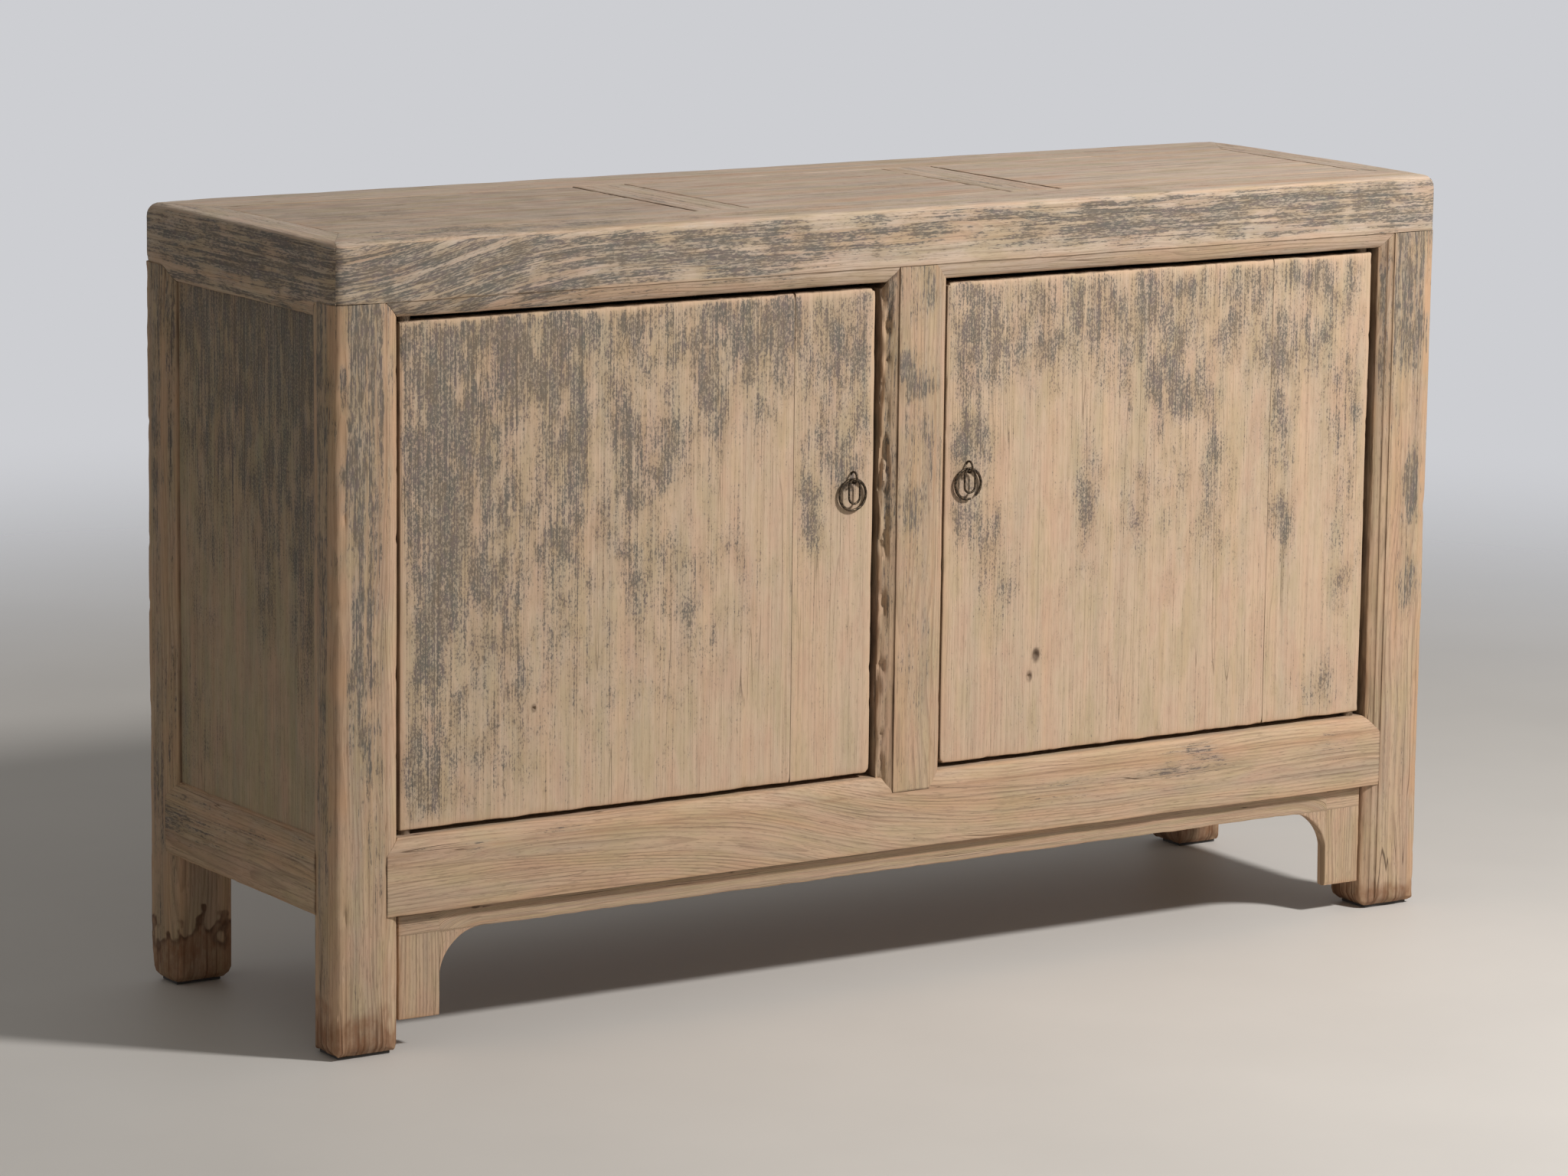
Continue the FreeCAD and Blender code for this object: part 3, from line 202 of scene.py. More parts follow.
@dataclass
class Skin:
    """The surface of a piece while it is shaped, in mm in the row frame."""

    points: Array
    quads: Array
    arris: Array  # 1 on an exposed arris, fading across the faces beside it
    hollow: Array  # 1 in an inner corner, which is drawn darker
    caps: list[list[int]] = field(default_factory=list)

    def normals(self) -> Array:
        """Work out the outward unit direction at every point.

        Returns:
            One direction for each point.
        """
        first, second, third, fourth = (self.points[self.quads[:, i]] for i in range(4))
        face = np.cross(third - first, fourth - second)
        total = np.zeros_like(self.points)
        for direction in range(3):
            for i in range(4):
                weights = face[:, direction]
                total[:, direction] += np.bincount(self.quads[:, i], weights, len(self.points))
        return total / np.maximum(np.linalg.norm(total, axis=1, keepdims=True), TINY)

    def welded(self) -> "Skin":
        """Join points in one place, drop faces without area and turn the faces outward.

        Returns:
            The closed surface.
        """
        keys = np.round(self.points / SAME_PLACE).astype(np.int64)
        _, first, index = np.unique(keys, axis=0, return_index=True, return_inverse=True)
        index = index.reshape(-1)
        quads = index[self.quads]
        distinct = np.sort(quads, axis=1)
        quads = quads[(np.diff(distinct, axis=1) > 0).sum(axis=1) >= 2]
        caps = [list(dict.fromkeys(index[cap].tolist())) for cap in self.caps]
        skin = Skin(self.points[first], quads, self.arris[first], self.hollow[first], caps)
        return skin.turned_out()

    def turned_out(self) -> "Skin":
        """Turn the faces outward.

        Returns:
            The same surface, its faces looking outward.
        """
        corners = self.points[self.quads] - self.points.mean(axis=0)
        face = np.cross(corners[:, 2] - corners[:, 0], corners[:, 3] - corners[:, 1])
        if (face * corners.mean(axis=1)).sum() >= 0:
            return self
        return replace(self, quads=self.quads[:, ::-1], caps=[cap[::-1] for cap in self.caps])

    def on(self, side: Side) -> "Skin":
        """Return a left member's surface as it is on a side of the cabinet."""
        mirrored = replace(self, points=self.points * np.array((-1, 1, 1)))
        return self if side is Side.LEFT else mirrored.turned_out()

    def with_parts(self, parts: Sequence["Skin"]) -> "Skin":
        """Put this surface and others that may overlap it into one.

        Args:
            parts: the other surfaces.

        Returns:
            One surface with the faces of all.
        """
        skins = [self, *parts]
        shifts = np.cumsum([0, *(len(skin.points) for skin in skins[:-1])])
        caps = [[i + shift for i in cap] for skin, shift in zip(skins, shifts) for cap in skin.caps]
        quads = np.concatenate([skin.quads + shift for skin, shift in zip(skins, shifts)])
        points, arris, hollow = (
            np.concatenate([getattr(skin, key) for skin in skins]) for key in ("points", "arris", "hollow")
        )
        return Skin(points, quads, arris, hollow, caps)


def spaced(low: float, high: float, step: float, near: Sequence[float] = ()) -> Array:
    """Lay out mesh lines between two ends, crowded towards them.

    Args:
        low: where the lines start.
        high: where they stop.
        step: the widest spacing.
        near: places in between that need close lines too.

    Returns:
        The places of the lines in rising order.
    """
    fine = np.array([0.0, *(s for s in FINE_STEPS if s < (high - low) / 2.2)])
    inner = np.linspace(low + fine[-1], high - fine[-1], 1 + max(1, math.ceil((high - low) / step)))
    close = [place + sign * s for place in near for s in (0.0, *FINE_STEPS) for sign in (-1, 1)]
    lines = np.unique(np.concatenate([low + fine, inner, high - fine, close]))
    lines = lines[(lines >= low) & (lines <= high)]
    kept = [lines[0]]
    for line in lines[1:]:
        if line - kept[-1] > CLOSEST_LINES:
            kept.append(line)
    kept[-1] = high
    return np.array(kept)


def outlined(corners: Sequence[Corner], step: float) -> tuple[Array, Array, Array]:
    """Ease the corners of a closed section and crowd its points towards them.

    Args:
        corners: the corners in order round the section.
        step: the widest spacing of its points.

    Returns:
        The points, their arris weights and their hollow weights.
    """
    places = np.array([(corner.across, corner.up) for corner in corners])
    after = np.roll(places, -1, axis=0)
    if (places[:, 0] * after[:, 1] - after[:, 0] * places[:, 1]).sum() < 0:
        corners, places = corners[::-1], places[::-1]
    bends, weights = [], []
    for i, corner in enumerate(corners):
        here = places[i]
        behind, ahead = places[i - 1] - here, places[(i + 1) % len(places)] - here
        lengths = np.linalg.norm(behind), np.linalg.norm(ahead)
        ease = min(corner.ease, 0.42 * lengths[0], 0.42 * lengths[1])
        start, end = here + behind / lengths[0] * ease, here + ahead / lengths[1] * ease
        share = np.linspace(0, 1, 1 if ease < 0.05 else 3 + 2 * int(ease > 2) + 2 * int(ease > 5))
        share = share[:, None]
        bends.append((1 - share) ** 2 * start + 2 * share * (1 - share) * here + share**2 * end)
        outward = -behind[0] * ahead[1] + behind[1] * ahead[0] > 0
        weights.append((here, ease, corner.wear if outward else 0.0, 0.0 if outward else 1.0))
    points = []
    for bend, following in zip(bends, bends[1:] + bends[:1]):
        points.extend(bend)
        run = following[0] - bend[-1]
        length = np.linalg.norm(run)
        lines = spaced(0, length, step)[1:-1] if length > 2 * FINE_STEPS[0] else []
        points.extend(bend[-1] + run * (line / length) for line in lines)
    points = np.array(points)
    arris, hollow = np.zeros(len(points)), np.zeros(len(points))
    for here, ease, free, sunk in weights:
        away = np.linalg.norm(points - here, axis=1)
        fade = np.exp(-np.maximum(away - ease, 0) / ARRIS_REACH)
        arris = np.maximum(arris, free * fade)
        hollow = np.maximum(hollow, sunk * fade**2)
    return points, arris, hollow


def swept(corners: Sequence[Corner], axis: Axis, ends: Ends, step: float = 6.0) -> Skin:
    """Draw a section out along an axis, each of its points between ends of its own.

    Args:
        corners: the section, in the two directions across the axis.
        axis: the direction of the member.
        ends: gives where every section point starts and stops, so that ends can be mitred.
        step: the widest mesh spacing.

    Returns:
        The member's closed surface.
    """
    section, arris, hollow = outlined(corners, step)
    low, high = ends(section)
    lines = spaced(low.min(), high.max(), step)
    count, around = len(lines), len(section)
    points = np.zeros((count, around, 3))
    points[..., axis.value] = np.clip(lines[:, None], low, high)
    for column, direction in enumerate(axis.across):
        points[..., direction] = section[:, column]
    index = np.arange(count * around).reshape(count, around)
    turn = np.roll(index, -1, axis=1)
    quads = np.stack([index[:-1], turn[:-1], turn[1:], index[1:]], axis=-1).reshape(-1, 4)
    caps = [index[0][::-1].tolist(), index[-1].tolist()]
    return Skin(points.reshape(-1, 3), quads, np.tile(arris, count), np.tile(hollow, count), caps).welded()


def boarded(
    low: Sequence[float], high: Sequence[float], ease: float = 1.0, joint: tuple[Axis, int] | None = None,
    near: dict[Axis, Sequence[float]] | None = None, step: float = 6.0,
) -> Skin:
    """Mesh a board in one grid over its six faces and ease its arrises.

    Args:
        low: its lowest corner.
        high: its highest corner.
        ease: the radius of its arrises.
        joint: the side, an axis and -1 or 1, that meets another board and stays sharp.
        near: places along an axis that need close mesh lines.
        step: the widest mesh spacing.

    Returns:
        The board's closed surface.
    """
    low, high = np.array(low, float), np.array(high, float)
    near = near or {}
    lines = [spaced(low[axis.value], high[axis.value], step, near.get(axis, ())) for axis in Axis]
    points, quads, total = [], [], 0
    for axis in Axis:
        first, second = axis.across
        for place in (low[axis.value], high[axis.value]):
            grid = np.zeros((len(lines[first]), len(lines[second]), 3))
            grid[..., first] = lines[first][:, None]
            grid[..., second] = lines[second][None, :]
            grid[..., axis.value] = place
            index = total + np.arange(grid[..., 0].size).reshape(grid.shape[:2])
            face = np.stack([index[:-1, :-1], index[1:, :-1], index[1:, 1:], index[:-1, 1:]], axis=-1)
            outward = (place == high[axis.value]) == (axis is not Axis.Y)
            points.append(grid.reshape(-1, 3))
            quads.append(face.reshape(-1, 4)[:, :: 1 if outward else -1])
            total += index.size
    points = np.concatenate(points)
    inset_low, inset_high = points - low, high - points
    if joint is not None:
        (inset_low if joint[1] < 0 else inset_high)[:, joint[0].value] = np.inf
    from_edge = np.sort(np.minimum(inset_low, inset_high), axis=1)[:, 1]
    arris = np.exp(-np.maximum(from_edge - ease, 0) / ARRIS_REACH)
    core = points + np.maximum(ease - inset_low, 0) - np.maximum(ease - inset_high, 0)
    out = points - core
    length = np.linalg.norm(out, axis=1, keepdims=True)
    eased = core + out / np.maximum(length, TINY) * np.abs(out).max(axis=1, keepdims=True)
    return Skin(eased, np.concatenate(quads), arris, np.zeros(len(points))).welded()


@dataclass(frozen=True)
class Wear:
    """How far a piece is worn back from its sawn shape, in mm."""

    arris: float = 1.6
    face: float = 0.3
    chips: float = 2.2
    wave_size: float = 22.0  # the sizes of the patterns of rubbing, dents and chips
    dent_size: float = 14.0
    chip_size: float = 7.0

    def apply(self, skin: Skin, axis: Axis, seed: int) -> Skin:
        """Wear a surface inward: its arrises most, its faces a little, with chips here and there.

        Args:
            skin: the surface as sawn.
            axis: the way its grain runs.
            seed: picks the pattern of wear.

        Returns:
            The worn surface.
        """
        stretch = np.ones(3)
        stretch[axis.value] = 4.0
        wave = noise(skin.points, self.wave_size * stretch, seed, 3)
        slow = noise(skin.points, self.dent_size * stretch, seed + 5, 2)
        chip = noise(skin.points, self.chip_size * stretch**0.5, seed + 9, 2)
        chip = np.clip(chip - 0.62, 0, 1) / 0.38
        depth = self.face * slow + skin.arris * self.arris * (0.15 + 1.5 * np.clip(wave - 0.3, 0, 1))
        depth += skin.arris**2 * self.chips * chip
        return replace(skin, points=skin.points - skin.normals() * depth[:, None])


@dataclass(frozen=True)
class Coat:
    """The old paint left on the faces that look one way."""

    facing: Facing
    base: float = 0.1
    patches: tuple[Patch, ...] = ()
    bay_size: float = 26.0  # of the bays in its ragged edge

    def cover(self, points: Array, normals: Array, low: Array, high: Array, seed: int) -> Array:
        """Work out how much paint is left at each point.

        Args:
            points: the places in mm.
            normals: the outward directions there.
            low: the lowest corner of the whole face, in mm.
            high: its highest corner.
            seed: picks the ragged edges.

        Returns:
            One number from 0 to 1 for each point.
        """
        outward, across, up = self.facing.value
        share = (points - low) / np.maximum(high - low, 1e-6)
        ragged = noise(points, self.bay_size, seed, 3) - 0.5
        bare = np.full(len(points), 1 - self.base)
        for patch in self.patches:
            middle, level, wide, tall, strength = (part / 100 for part in patch)
            aside = (share[:, across] - middle) / wide
            above = (share[:, up] - level) / tall
            bare *= 1 - strength * np.exp(-((aside**2 + above**2) ** 1.5))
        cover = (1 - bare) * (1 + 1.1 * ragged)
        looks = np.clip(normals @ np.array(outward, float) * 2 - 0.6, 0, 1)
        return np.clip(cover, 0, 1) * looks


@dataclass(frozen=True)
class Seam:
    """A dark line square to an axis: dirt along most joints, and painted shade by the door gaps and under the
    low rail.
    """

    axis: Axis
    place: float
    reach: float = 1.6  # how far the darkening spreads to each side
    strength: float = 0.9


@dataclass(frozen=True)
class Dressing:
    """What marks one wooden piece: grain, wear, old paint, dirt and painted shade."""

    axis: Axis
    wear: Wear = Wear()
    coats: tuple[Coat, ...] = ()
    heart: tuple[float, float] = (70.0, 45.0)  # how far the tree's heart lies from the board's middle
    # how dark the piece is all over: dirt, and on the top panels partly painted shade
    dirt: float = 0.1
    grimy: tuple[Facing, ...] = ()  # the faces that look into a gap or down, darkened as painted shade and grime
    grimy_above: float = 0.0  # the height above which they are darkened
    knots: tuple[Knot, ...] = ()
    seams: tuple[Seam, ...] = ()
    damp: tuple[float, float] = (20.0, 0.0)  # how high the floor's damp rose, how strong its line is
    upright: Callable[[Array], Array] | None = None  # finds the points whose grain stands upright
    slant: tuple[float, float, float] = (0.0, 0.0, 1.0)  # where the grain slants, how far, over what run

    def soil(self, points: Array, normals: Array, speckled: Array) -> Array:
        """Work out how dark each point is: dirt from age, knots and joints, and painted shade with grime in
        gaps and under rails.

        Args:
            points: the places in mm.
            normals: the outward directions there.
            speckled: smooth noise that breaks the dirt and the dark lines up.

        Returns:
            One number from 0 up for each point.
        """
        dirt = self.dirt * speckled
        # Painted shade and grime: faces that look into a gap, or down under a rail, are darkened.
        for facing in self.grimy:
            looks = normals @ np.array(facing.value[0], float)
            looks = np.where(points[:, 2] > self.grimy_above, looks, 0)
            dirt = np.maximum(dirt, 0.9 * np.clip(4 * looks - 2.8, 0, 1))
        for across, height, radius in self.knots:
            away = np.hypot(points[:, 0] - across, (points[:, 2] - height) / 1.5)
            dirt += 1.3 * np.clip(1.9 - away / radius, 0, 1)
        # Dark lines: dirt along joints, and painted shade by the door gaps and under the low rail.
        for seam in self.seams:
            away = np.abs(points[:, seam.axis.value] - seam.place)
            broken = np.clip(3 * speckled - 0.8, 0.25, 1)
            dirt += seam.strength * broken * np.clip(1.5 - away / seam.reach, 0, 1)
        return dirt

    def grain(self, points: Array, seed: int) -> Array:
        """Find each point's place in the tree: across, through and along the grain, in mm.

        Args:
            points: the places in mm.
            seed: sets the piece's height in the tree.

        Returns:
            Three numbers for each point.
        """
        first, second = self.axis.across
        along = points[:, self.axis.value]
        middle = (points.min(axis=0) + points.max(axis=0)) / 2
        grain = np.empty_like(points)
        grain[:, 0] = points[:, first] - middle[first] + self.heart[0]
        grain[:, 1] = points[:, second] - middle[second] + self.heart[1]
        grain[:, 2] = along + 37 * (seed % 97)
        place, rise, run = self.slant
        grain[:, 1] += rise * np.tanh((along - place) / run)
        if self.upright is not None:
            stood = self.upright(points)
            turned = points[:, (1, 0, 2)] - middle[[1, 0, 2]] + np.array((*self.heart, 0.0))
            grain[stood] = turned[stood]
        return grain


# Colours and node materials


def linear(colour: str) -> tuple[float, float, float, float]:
    """Turn an sRGB hex colour into the linear colour that shaders take.

    Args:
        colour: six hex digits after a hash sign.

    Returns:
        Red, green, blue and an alpha of 1.
    """
    shares = [int(colour[i : i + 2], 16) / 255 for i in (1, 3, 5)]
    red, green, blue = (s / 12.92 if s <= 0.04045 else ((s + 0.055) / 1.055) ** 2.4 for s in shares)
    return red, green, blue, 1.0


TIMES = {"operation": "MULTIPLY"}
TIMES_PLUS = {"operation": "MULTIPLY_ADD"}
SMOOTH = {"interpolation_type": "SMOOTHSTEP"}
CLAMPED = {"use_clamp": True}


@dataclass
class Recipe:
    """A node tree while it is built."""

    tree: bpy.types.NodeTree
    grain: Socket | None = None  # on a wood, the place across, through and along the grain, in metres

    def add(
        self, kind: str, feeds: Sequence | dict = (), out: int | str = 0, **settings: object
    ) -> Socket:
        """Add one node with its settings and links.

        Args:
            kind: the node's type, without the words that all types start with.
            feeds: for the first inputs, or for inputs by number or name, a value, a hex colour or
                the socket that feeds it.
            out: the output to hand back.
            settings: the node's own options.

        Returns:
            The chosen output, or the node's first input where it has no output.
        """
        node = self.tree.nodes.new(f"ShaderNode{kind}")
        for name, value in settings.items():
            setattr(node, name, value)
        for key, feed in feeds.items() if isinstance(feeds, dict) else enumerate(feeds):
            if isinstance(feed, Socket):
                self.tree.links.new(feed, node.inputs[key])
            else:
                node.inputs[key].default_value = linear(feed) if isinstance(feed, str) else feed
        return node.outputs[out] if node.outputs else node.inputs[0]

    def layered(self, colour: Socket | str, *layers: tuple[Socket, Socket | str]) -> Socket:
        """Lay colours over one another, and return what they give.

        Args:
            colour: what lies under them all.
            layers: the share and the colour of each.

        Returns:
            The mixed colour.
        """
        for share, over in layers:
            colour = self.add("Mix", {0: share, 6: colour, 7: over}, 2, data_type="RGBA")
        return colour

    def marks(self, wide_mm: float, long_mm: float, detail: float, harshness: float = 0.55) -> Socket:
        """Scatter marks that are drawn out along the grain.

        Args:
            wide_mm: the size of a mark across the grain.
            long_mm: its length along the grain.
            detail: how many finer layers it has.
            harshness: how much each finer layer counts.

        Returns:
            The strength of the marks, about 0.5 in the middle.
        """
        shares = (1 / (wide_mm * MM), 1 / (wide_mm * MM), 1 / (long_mm * MM))
        place = self.add("VectorMath", (self.grain, shares), **TIMES)
        return self.add(
            "TexNoise", {"Vector": place, "Scale": 1.0, "Detail": detail, "Roughness": harshness}
        )


@dataclass(frozen=True)
class Finish:
    """A material, and how its surface was made."""

    name: str

    def shader(self, nodes: Recipe) -> Socket:
        """Build the look of the surface and return its shader."""
        raise NotImplementedError

    def material(self) -> bpy.types.Material:
        """Build the finish as a node material.

        Returns:
            The material.
        """
        material = bpy.data.materials.new(self.name)
        material.use_nodes = True
        material.node_tree.nodes.clear()
        nodes = Recipe(material.node_tree)
        nodes.add("OutputMaterial", (self.shader(nodes),))
        return material


class GrainSource(Enum):
    """Where a finish reads the run of the grain from."""

    BOARD = "each point's own grain value, laid along its board"
    ROW_X = "the row frame, for sawn solids whose grain runs along X"


@dataclass(frozen=True)
class Elm(Finish):
    """Old elm, sawn, weathered and once painted.

    Elm is ring-porous: each year's early wood is pale and soft and its late wood is a darker line.
    Weather wears the soft wood down, so the late wood stands up as fine ridges along the grain, and
    paint stays longest as flecks in the hollows between them. It is dry, so it has hardly a shine.
    """

    early: str
    late: str
    grey: str
    warm: str
    fibre: str
    worn: str
    # the colour of dirt and of painted shade, and of the cracks
    dirt: str = "#4d3a2a"
    paint_cool: str = "#484a48"
    paint_warm: str = "#5f5449"
    wash: str = "#968d80"
    ochre: str = "#b08f62"
    mauve: str = "#5d5053"
    pink: str = "#c49c85"
    olive: str = "#b2a17b"
    damp: str = "#7c4f30"
    tide: str = "#42281a"
    tinge: float = 0.4  # how far the pink and the olive clouds show
    banding: float = 0.75  # how far warm and grey bands part from the early wood
    ring_mm: float = 5.5  # the width of one year's growth
    ring_contrast: float = 0.4
    wander_mm: float = 9.0  # how far a ring strays from round
    wander_run_mm: float = 420.0  # the length over which it strays
    fibre_mm: float = 1.5  # real fibres are too fine to show, so these are bundles of them
    fibre_run_mm: float = 95.0
    fibre_contrast: float = 0.45
    pore_mm: float = 1.1  # real pores are a third as wide, so these are rows of them
    pore_run_mm: float = 13.0
    pore_contrast: float = 0.4
    fleck_mm: float = 1.7  # the width of a fleck of paint
    fleck_run_mm: float = 2.9
    bare_rings: float = 0.1  # how much paint the raised late wood has lost
    streak_mm: float = 3.5  # the width of a worn streak between painted ones
    streak_run_mm: float = 42.0
    streak_share: float = 0.38  # how much the streaks count against the blotches
    blotch_mm: float = 17.0  # the width of the rounder blotches that break the streaks
    blotch_run_mm: float = 44.0
    patchy: tuple[float, float] = (0.5, 1.4)  # the least and the most that both leave of the paint
    most_cover: float = 0.7  # bare wood shows through even the best of the paint
    check_contrast: float = 0.7  # how dark the fine drying cracks are
    roughness: float = 0.78
    relief_mm: float = 0.35
    source: GrainSource = GrainSource.BOARD

    def shader(self, nodes: Recipe) -> Socket:
        """Build the wood, its paint, its stains, its dirt and its painted shade in turn.

        Args:
            nodes: the material's nodes.

        Returns:
            The shader.
        """
        nodes.grain = self.grain(nodes)
        ring = self.rings(nodes)
        fibre = nodes.marks(self.fibre_mm, self.fibre_run_mm, 3.0)
        pore = nodes.marks(self.pore_mm, self.pore_run_mm, 1.5)
        pore = nodes.add("MapRange", (pore, 0.56, 0.7, 0.0, self.pore_contrast), **SMOOTH)
        check = self.checks(nodes)
        dark_check = nodes.add("Math", (check, self.check_contrast), **TIMES)
        wear = nodes.add("Attribute", out="Fac", attribute_name="wear")
        pale = nodes.add("Math", (wear, 0.75), **CLAMPED, **TIMES)
        bare = self.bare_wood(nodes, ring, fibre)
        colour = nodes.layered(bare, (pore, self.fibre), (dark_check, self.dirt), (pale, self.worn))
        cover, flecks = self.paint(nodes, wear, fibre, ring)
        colour = self.water_marked(nodes, self.painted(nodes, colour, cover, flecks))
        # The attribute holds dirt, and painted shade in gaps and under rails; noise breaks it up.
        soil = nodes.add("MapRange", (nodes.marks(16.0, 60.0, 3.0), 0.25, 0.7, 0.25, 1.0))
        dirt = nodes.add("Attribute", out="Fac", attribute_name="dirt")
        dirt = nodes.add("Math", (dirt, soil), **CLAMPED, **TIMES)
        raised = 0.0
        for source, height in ((ring, 0.7), (fibre, 0.9), (flecks, 0.22), (check, -1.6)):
            raised = nodes.add("Math", (source, height, raised), **TIMES_PLUS)
        relief = self.relief_mm * MM
        bump = nodes.add("Bump", {"Strength": 0.8, "Distance": relief, "Height": raised})
        rough = (fibre, 0.3, 0.7, self.roughness - 0.08, self.roughness + 0.1)
        return nodes.add("BsdfPrincipled", {
            "Base Color": nodes.layered(colour, (dirt, self.dirt)), "Roughness": nodes.add("MapRange", rough),
            "Normal": bump, "Specular IOR Level": 0.3,
        })

    def grain(self, nodes: Recipe) -> Socket:
        """Find the place in the board: across, through and along its grain.

        Args:
            nodes: the material's nodes.

        Returns:
            The place in metres.
        """
        if self.source is GrainSource.BOARD:
            return nodes.add("Attribute", out="Vector", attribute_name="grain")
        place = nodes.add("TexCoord", out="Object")
        return nodes.add("CombineXYZ", [nodes.add("SeparateXYZ", (place,), out) for out in (1, 2, 0)])

    def rings(self, nodes: Recipe) -> Socket:
        """Draw the late wood of the growth rings round the heart.

        Args:
            nodes: the material's nodes.

        Returns:
            The late wood, from 0 to 1.
        """
        flat = nodes.add("VectorMath", (nodes.grain, (1, 1, 0)), **TIMES)
        radius = nodes.add("VectorMath", (flat,), "Value", operation="LENGTH")
        stray = nodes.marks(70.0, self.wander_run_mm, 2.0)
        stray = nodes.add("Math", (stray, 4 * self.wander_mm * MM, radius), **TIMES_PLUS)
        small = nodes.marks(9.0, 90.0, 1.0)
        stray = nodes.add("Math", (small, 0.55 * self.ring_mm * MM, stray), **TIMES_PLUS)
        years = nodes.add("Math", (stray, self.ring_mm * MM), operation="DIVIDE")
        part = nodes.add("Math", (years,), operation="FRACT")
        rise = nodes.add("MapRange", (part, 0.35, 0.9), **SMOOTH)
        fall = nodes.add("MapRange", (part, 1.0, 0.9), **SMOOTH)
        line = nodes.add("Math", (rise, fall), **TIMES)
        broken = nodes.add("MapRange", (nodes.marks(12.0, 160.0, 2.0), 0.3, 0.65, 0.15, 1.0))
        return nodes.add("Math", (line, broken), **TIMES)

    def bare_wood(self, nodes: Recipe, ring: Socket, fibre: Socket) -> Socket:
        """Colour the wood itself.

        Args:
            nodes: the material's nodes.
            ring: the late wood.
            fibre: the bundles of fibres.

        Returns:
            The colour of the bare wood.
        """
        bands, clouds = nodes.marks(22.0, 380.0, 3.0), nodes.marks(26.0, 80.0, 3.0)
        colour = self.early
        for pattern, limit, most, tint in (
            (bands, 0.68, self.banding, self.warm), (bands, 0.33, self.banding, self.grey),
            (clouds, 0.66, self.tinge, self.pink), (clouds, 0.34, self.tinge, self.olive),
        ):
            share = nodes.add("MapRange", (pattern, 0.5, limit, 0.0, most))
            colour = nodes.layered(colour, (share, tint))
        dark_fibre = nodes.add("MapRange", (fibre, 0.5, 0.68), **SMOOTH)
        late = nodes.add("Math", (ring, self.ring_contrast), **TIMES)
        thin = nodes.add("Math", (dark_fibre, self.fibre_contrast), **TIMES)
        return nodes.layered(colour, (late, self.late), (thin, self.fibre))

    def water_marked(self, nodes: Recipe, colour: Socket) -> Socket:
        """Stain a foot brown, in places up to the ragged dark line that the damp left.

        Args:
            nodes: the material's nodes.
            colour: the painted wood.

        Returns:
            The stained colour.
        """
        damp = nodes.add("Attribute", out="Fac", attribute_name="damp")
        level = nodes.add("Math", (nodes.marks(26.0, 34.0, 2.0), 1.1, damp), **TIMES_PLUS)
        lined = nodes.add("Attribute", out="Fac", attribute_name="tide")
        full = nodes.add("Math", (lined, -0.2, 1.3), **TIMES_PLUS)
        most = nodes.add("MapRange", (nodes.marks(8.0, 15.0, 4.0), 0.35, 0.65, 0.34, 0.74))
        below = nodes.add("MapRange", (level, 1.0, full, 0.0, most), **SMOOTH)
        rise = nodes.add("MapRange", (level, 1.01, 1.06), **SMOOTH)
        fall = nodes.add("MapRange", (level, 1.22, 1.06, 0.0, most), **SMOOTH)
        line = nodes.add("Math", (rise, fall), **TIMES)
        line = nodes.add("Math", (line, lined), **TIMES)
        return nodes.layered(colour, (below, self.damp), (line, self.tide))

    def checks(self, nodes: Recipe) -> Socket:
        """Draw the cracks that drying opens along the grain, wider in the feet.

        Args:
            nodes: the material's nodes.

        Returns:
            The cracks, from 0 to 1.
        """
        away = nodes.add("Math", (nodes.marks(17.0, 620.0, 1.5), 0.5), operation="SUBTRACT")
        away = nodes.add("Math", (away,), operation="ABSOLUTE")
        damp = nodes.add("Attribute", out="Fac", attribute_name="damp")
        damp = nodes.add("MapRange", (damp, 0.4, 0.75))
        wide = nodes.add("Math", (damp, 0.045, 0.006), **TIMES_PLUS)
        line = nodes.add("MapRange", (away, wide, 0.001), **SMOOTH)
        some = nodes.add("MapRange", (nodes.marks(55.0, 170.0, 1.0), 0.52, 0.62))
        some = nodes.add("Math", (some, damp), operation="MAXIMUM")
        return nodes.add("Math", (line, some), **TIMES)

    def paint(self, nodes: Recipe, wear: Socket, fibre: Socket, ring: Socket) -> tuple[Socket, Socket]:
        """Break the paint that is left into streaks and flecks.

        Args:
            nodes: the material's nodes.
            wear: how worn the arris is, which takes paint off.
            fibre: the fibres, in whose hollows paint stays.
            ring: the late wood, which stands up and is rubbed bare.

        Returns:
            How much paint the place holds, and the flecks themselves.
        """
        streak = nodes.marks(self.streak_mm, self.streak_run_mm, 3.0)
        blotch = nodes.marks(self.blotch_mm, self.blotch_run_mm, 4.0)
        both = nodes.add("Mix", {0: self.streak_share, 2: blotch, 3: streak}, data_type="FLOAT")
        left = nodes.add("MapRange", (both, 0.38, 0.62, *self.patchy))
        cover = nodes.add("Attribute", out="Fac", attribute_name="paint")
        cover = nodes.add("Math", (cover, left), **TIMES)
        for rubbed, share in ((wear, -0.8), (ring, -self.bare_rings)):
            cover = nodes.add("Math", (rubbed, share, cover), **TIMES_PLUS)
        fleck = nodes.marks(self.fleck_mm, self.fleck_run_mm, 5.0, 0.72)
        fleck = nodes.add("Math", (fibre, 0.45, fleck), **TIMES_PLUS)
        level = nodes.add("MapRange", (fleck, 0.53, 0.92, -0.12, 0.88), clamp=False)
        capped = nodes.add("Math", (cover, self.most_cover), operation="MINIMUM")
        level = nodes.add("Math", (level, capped), operation="ADD")
        return cover, nodes.add("MapRange", (level, 0.82, 1.14), **SMOOTH)

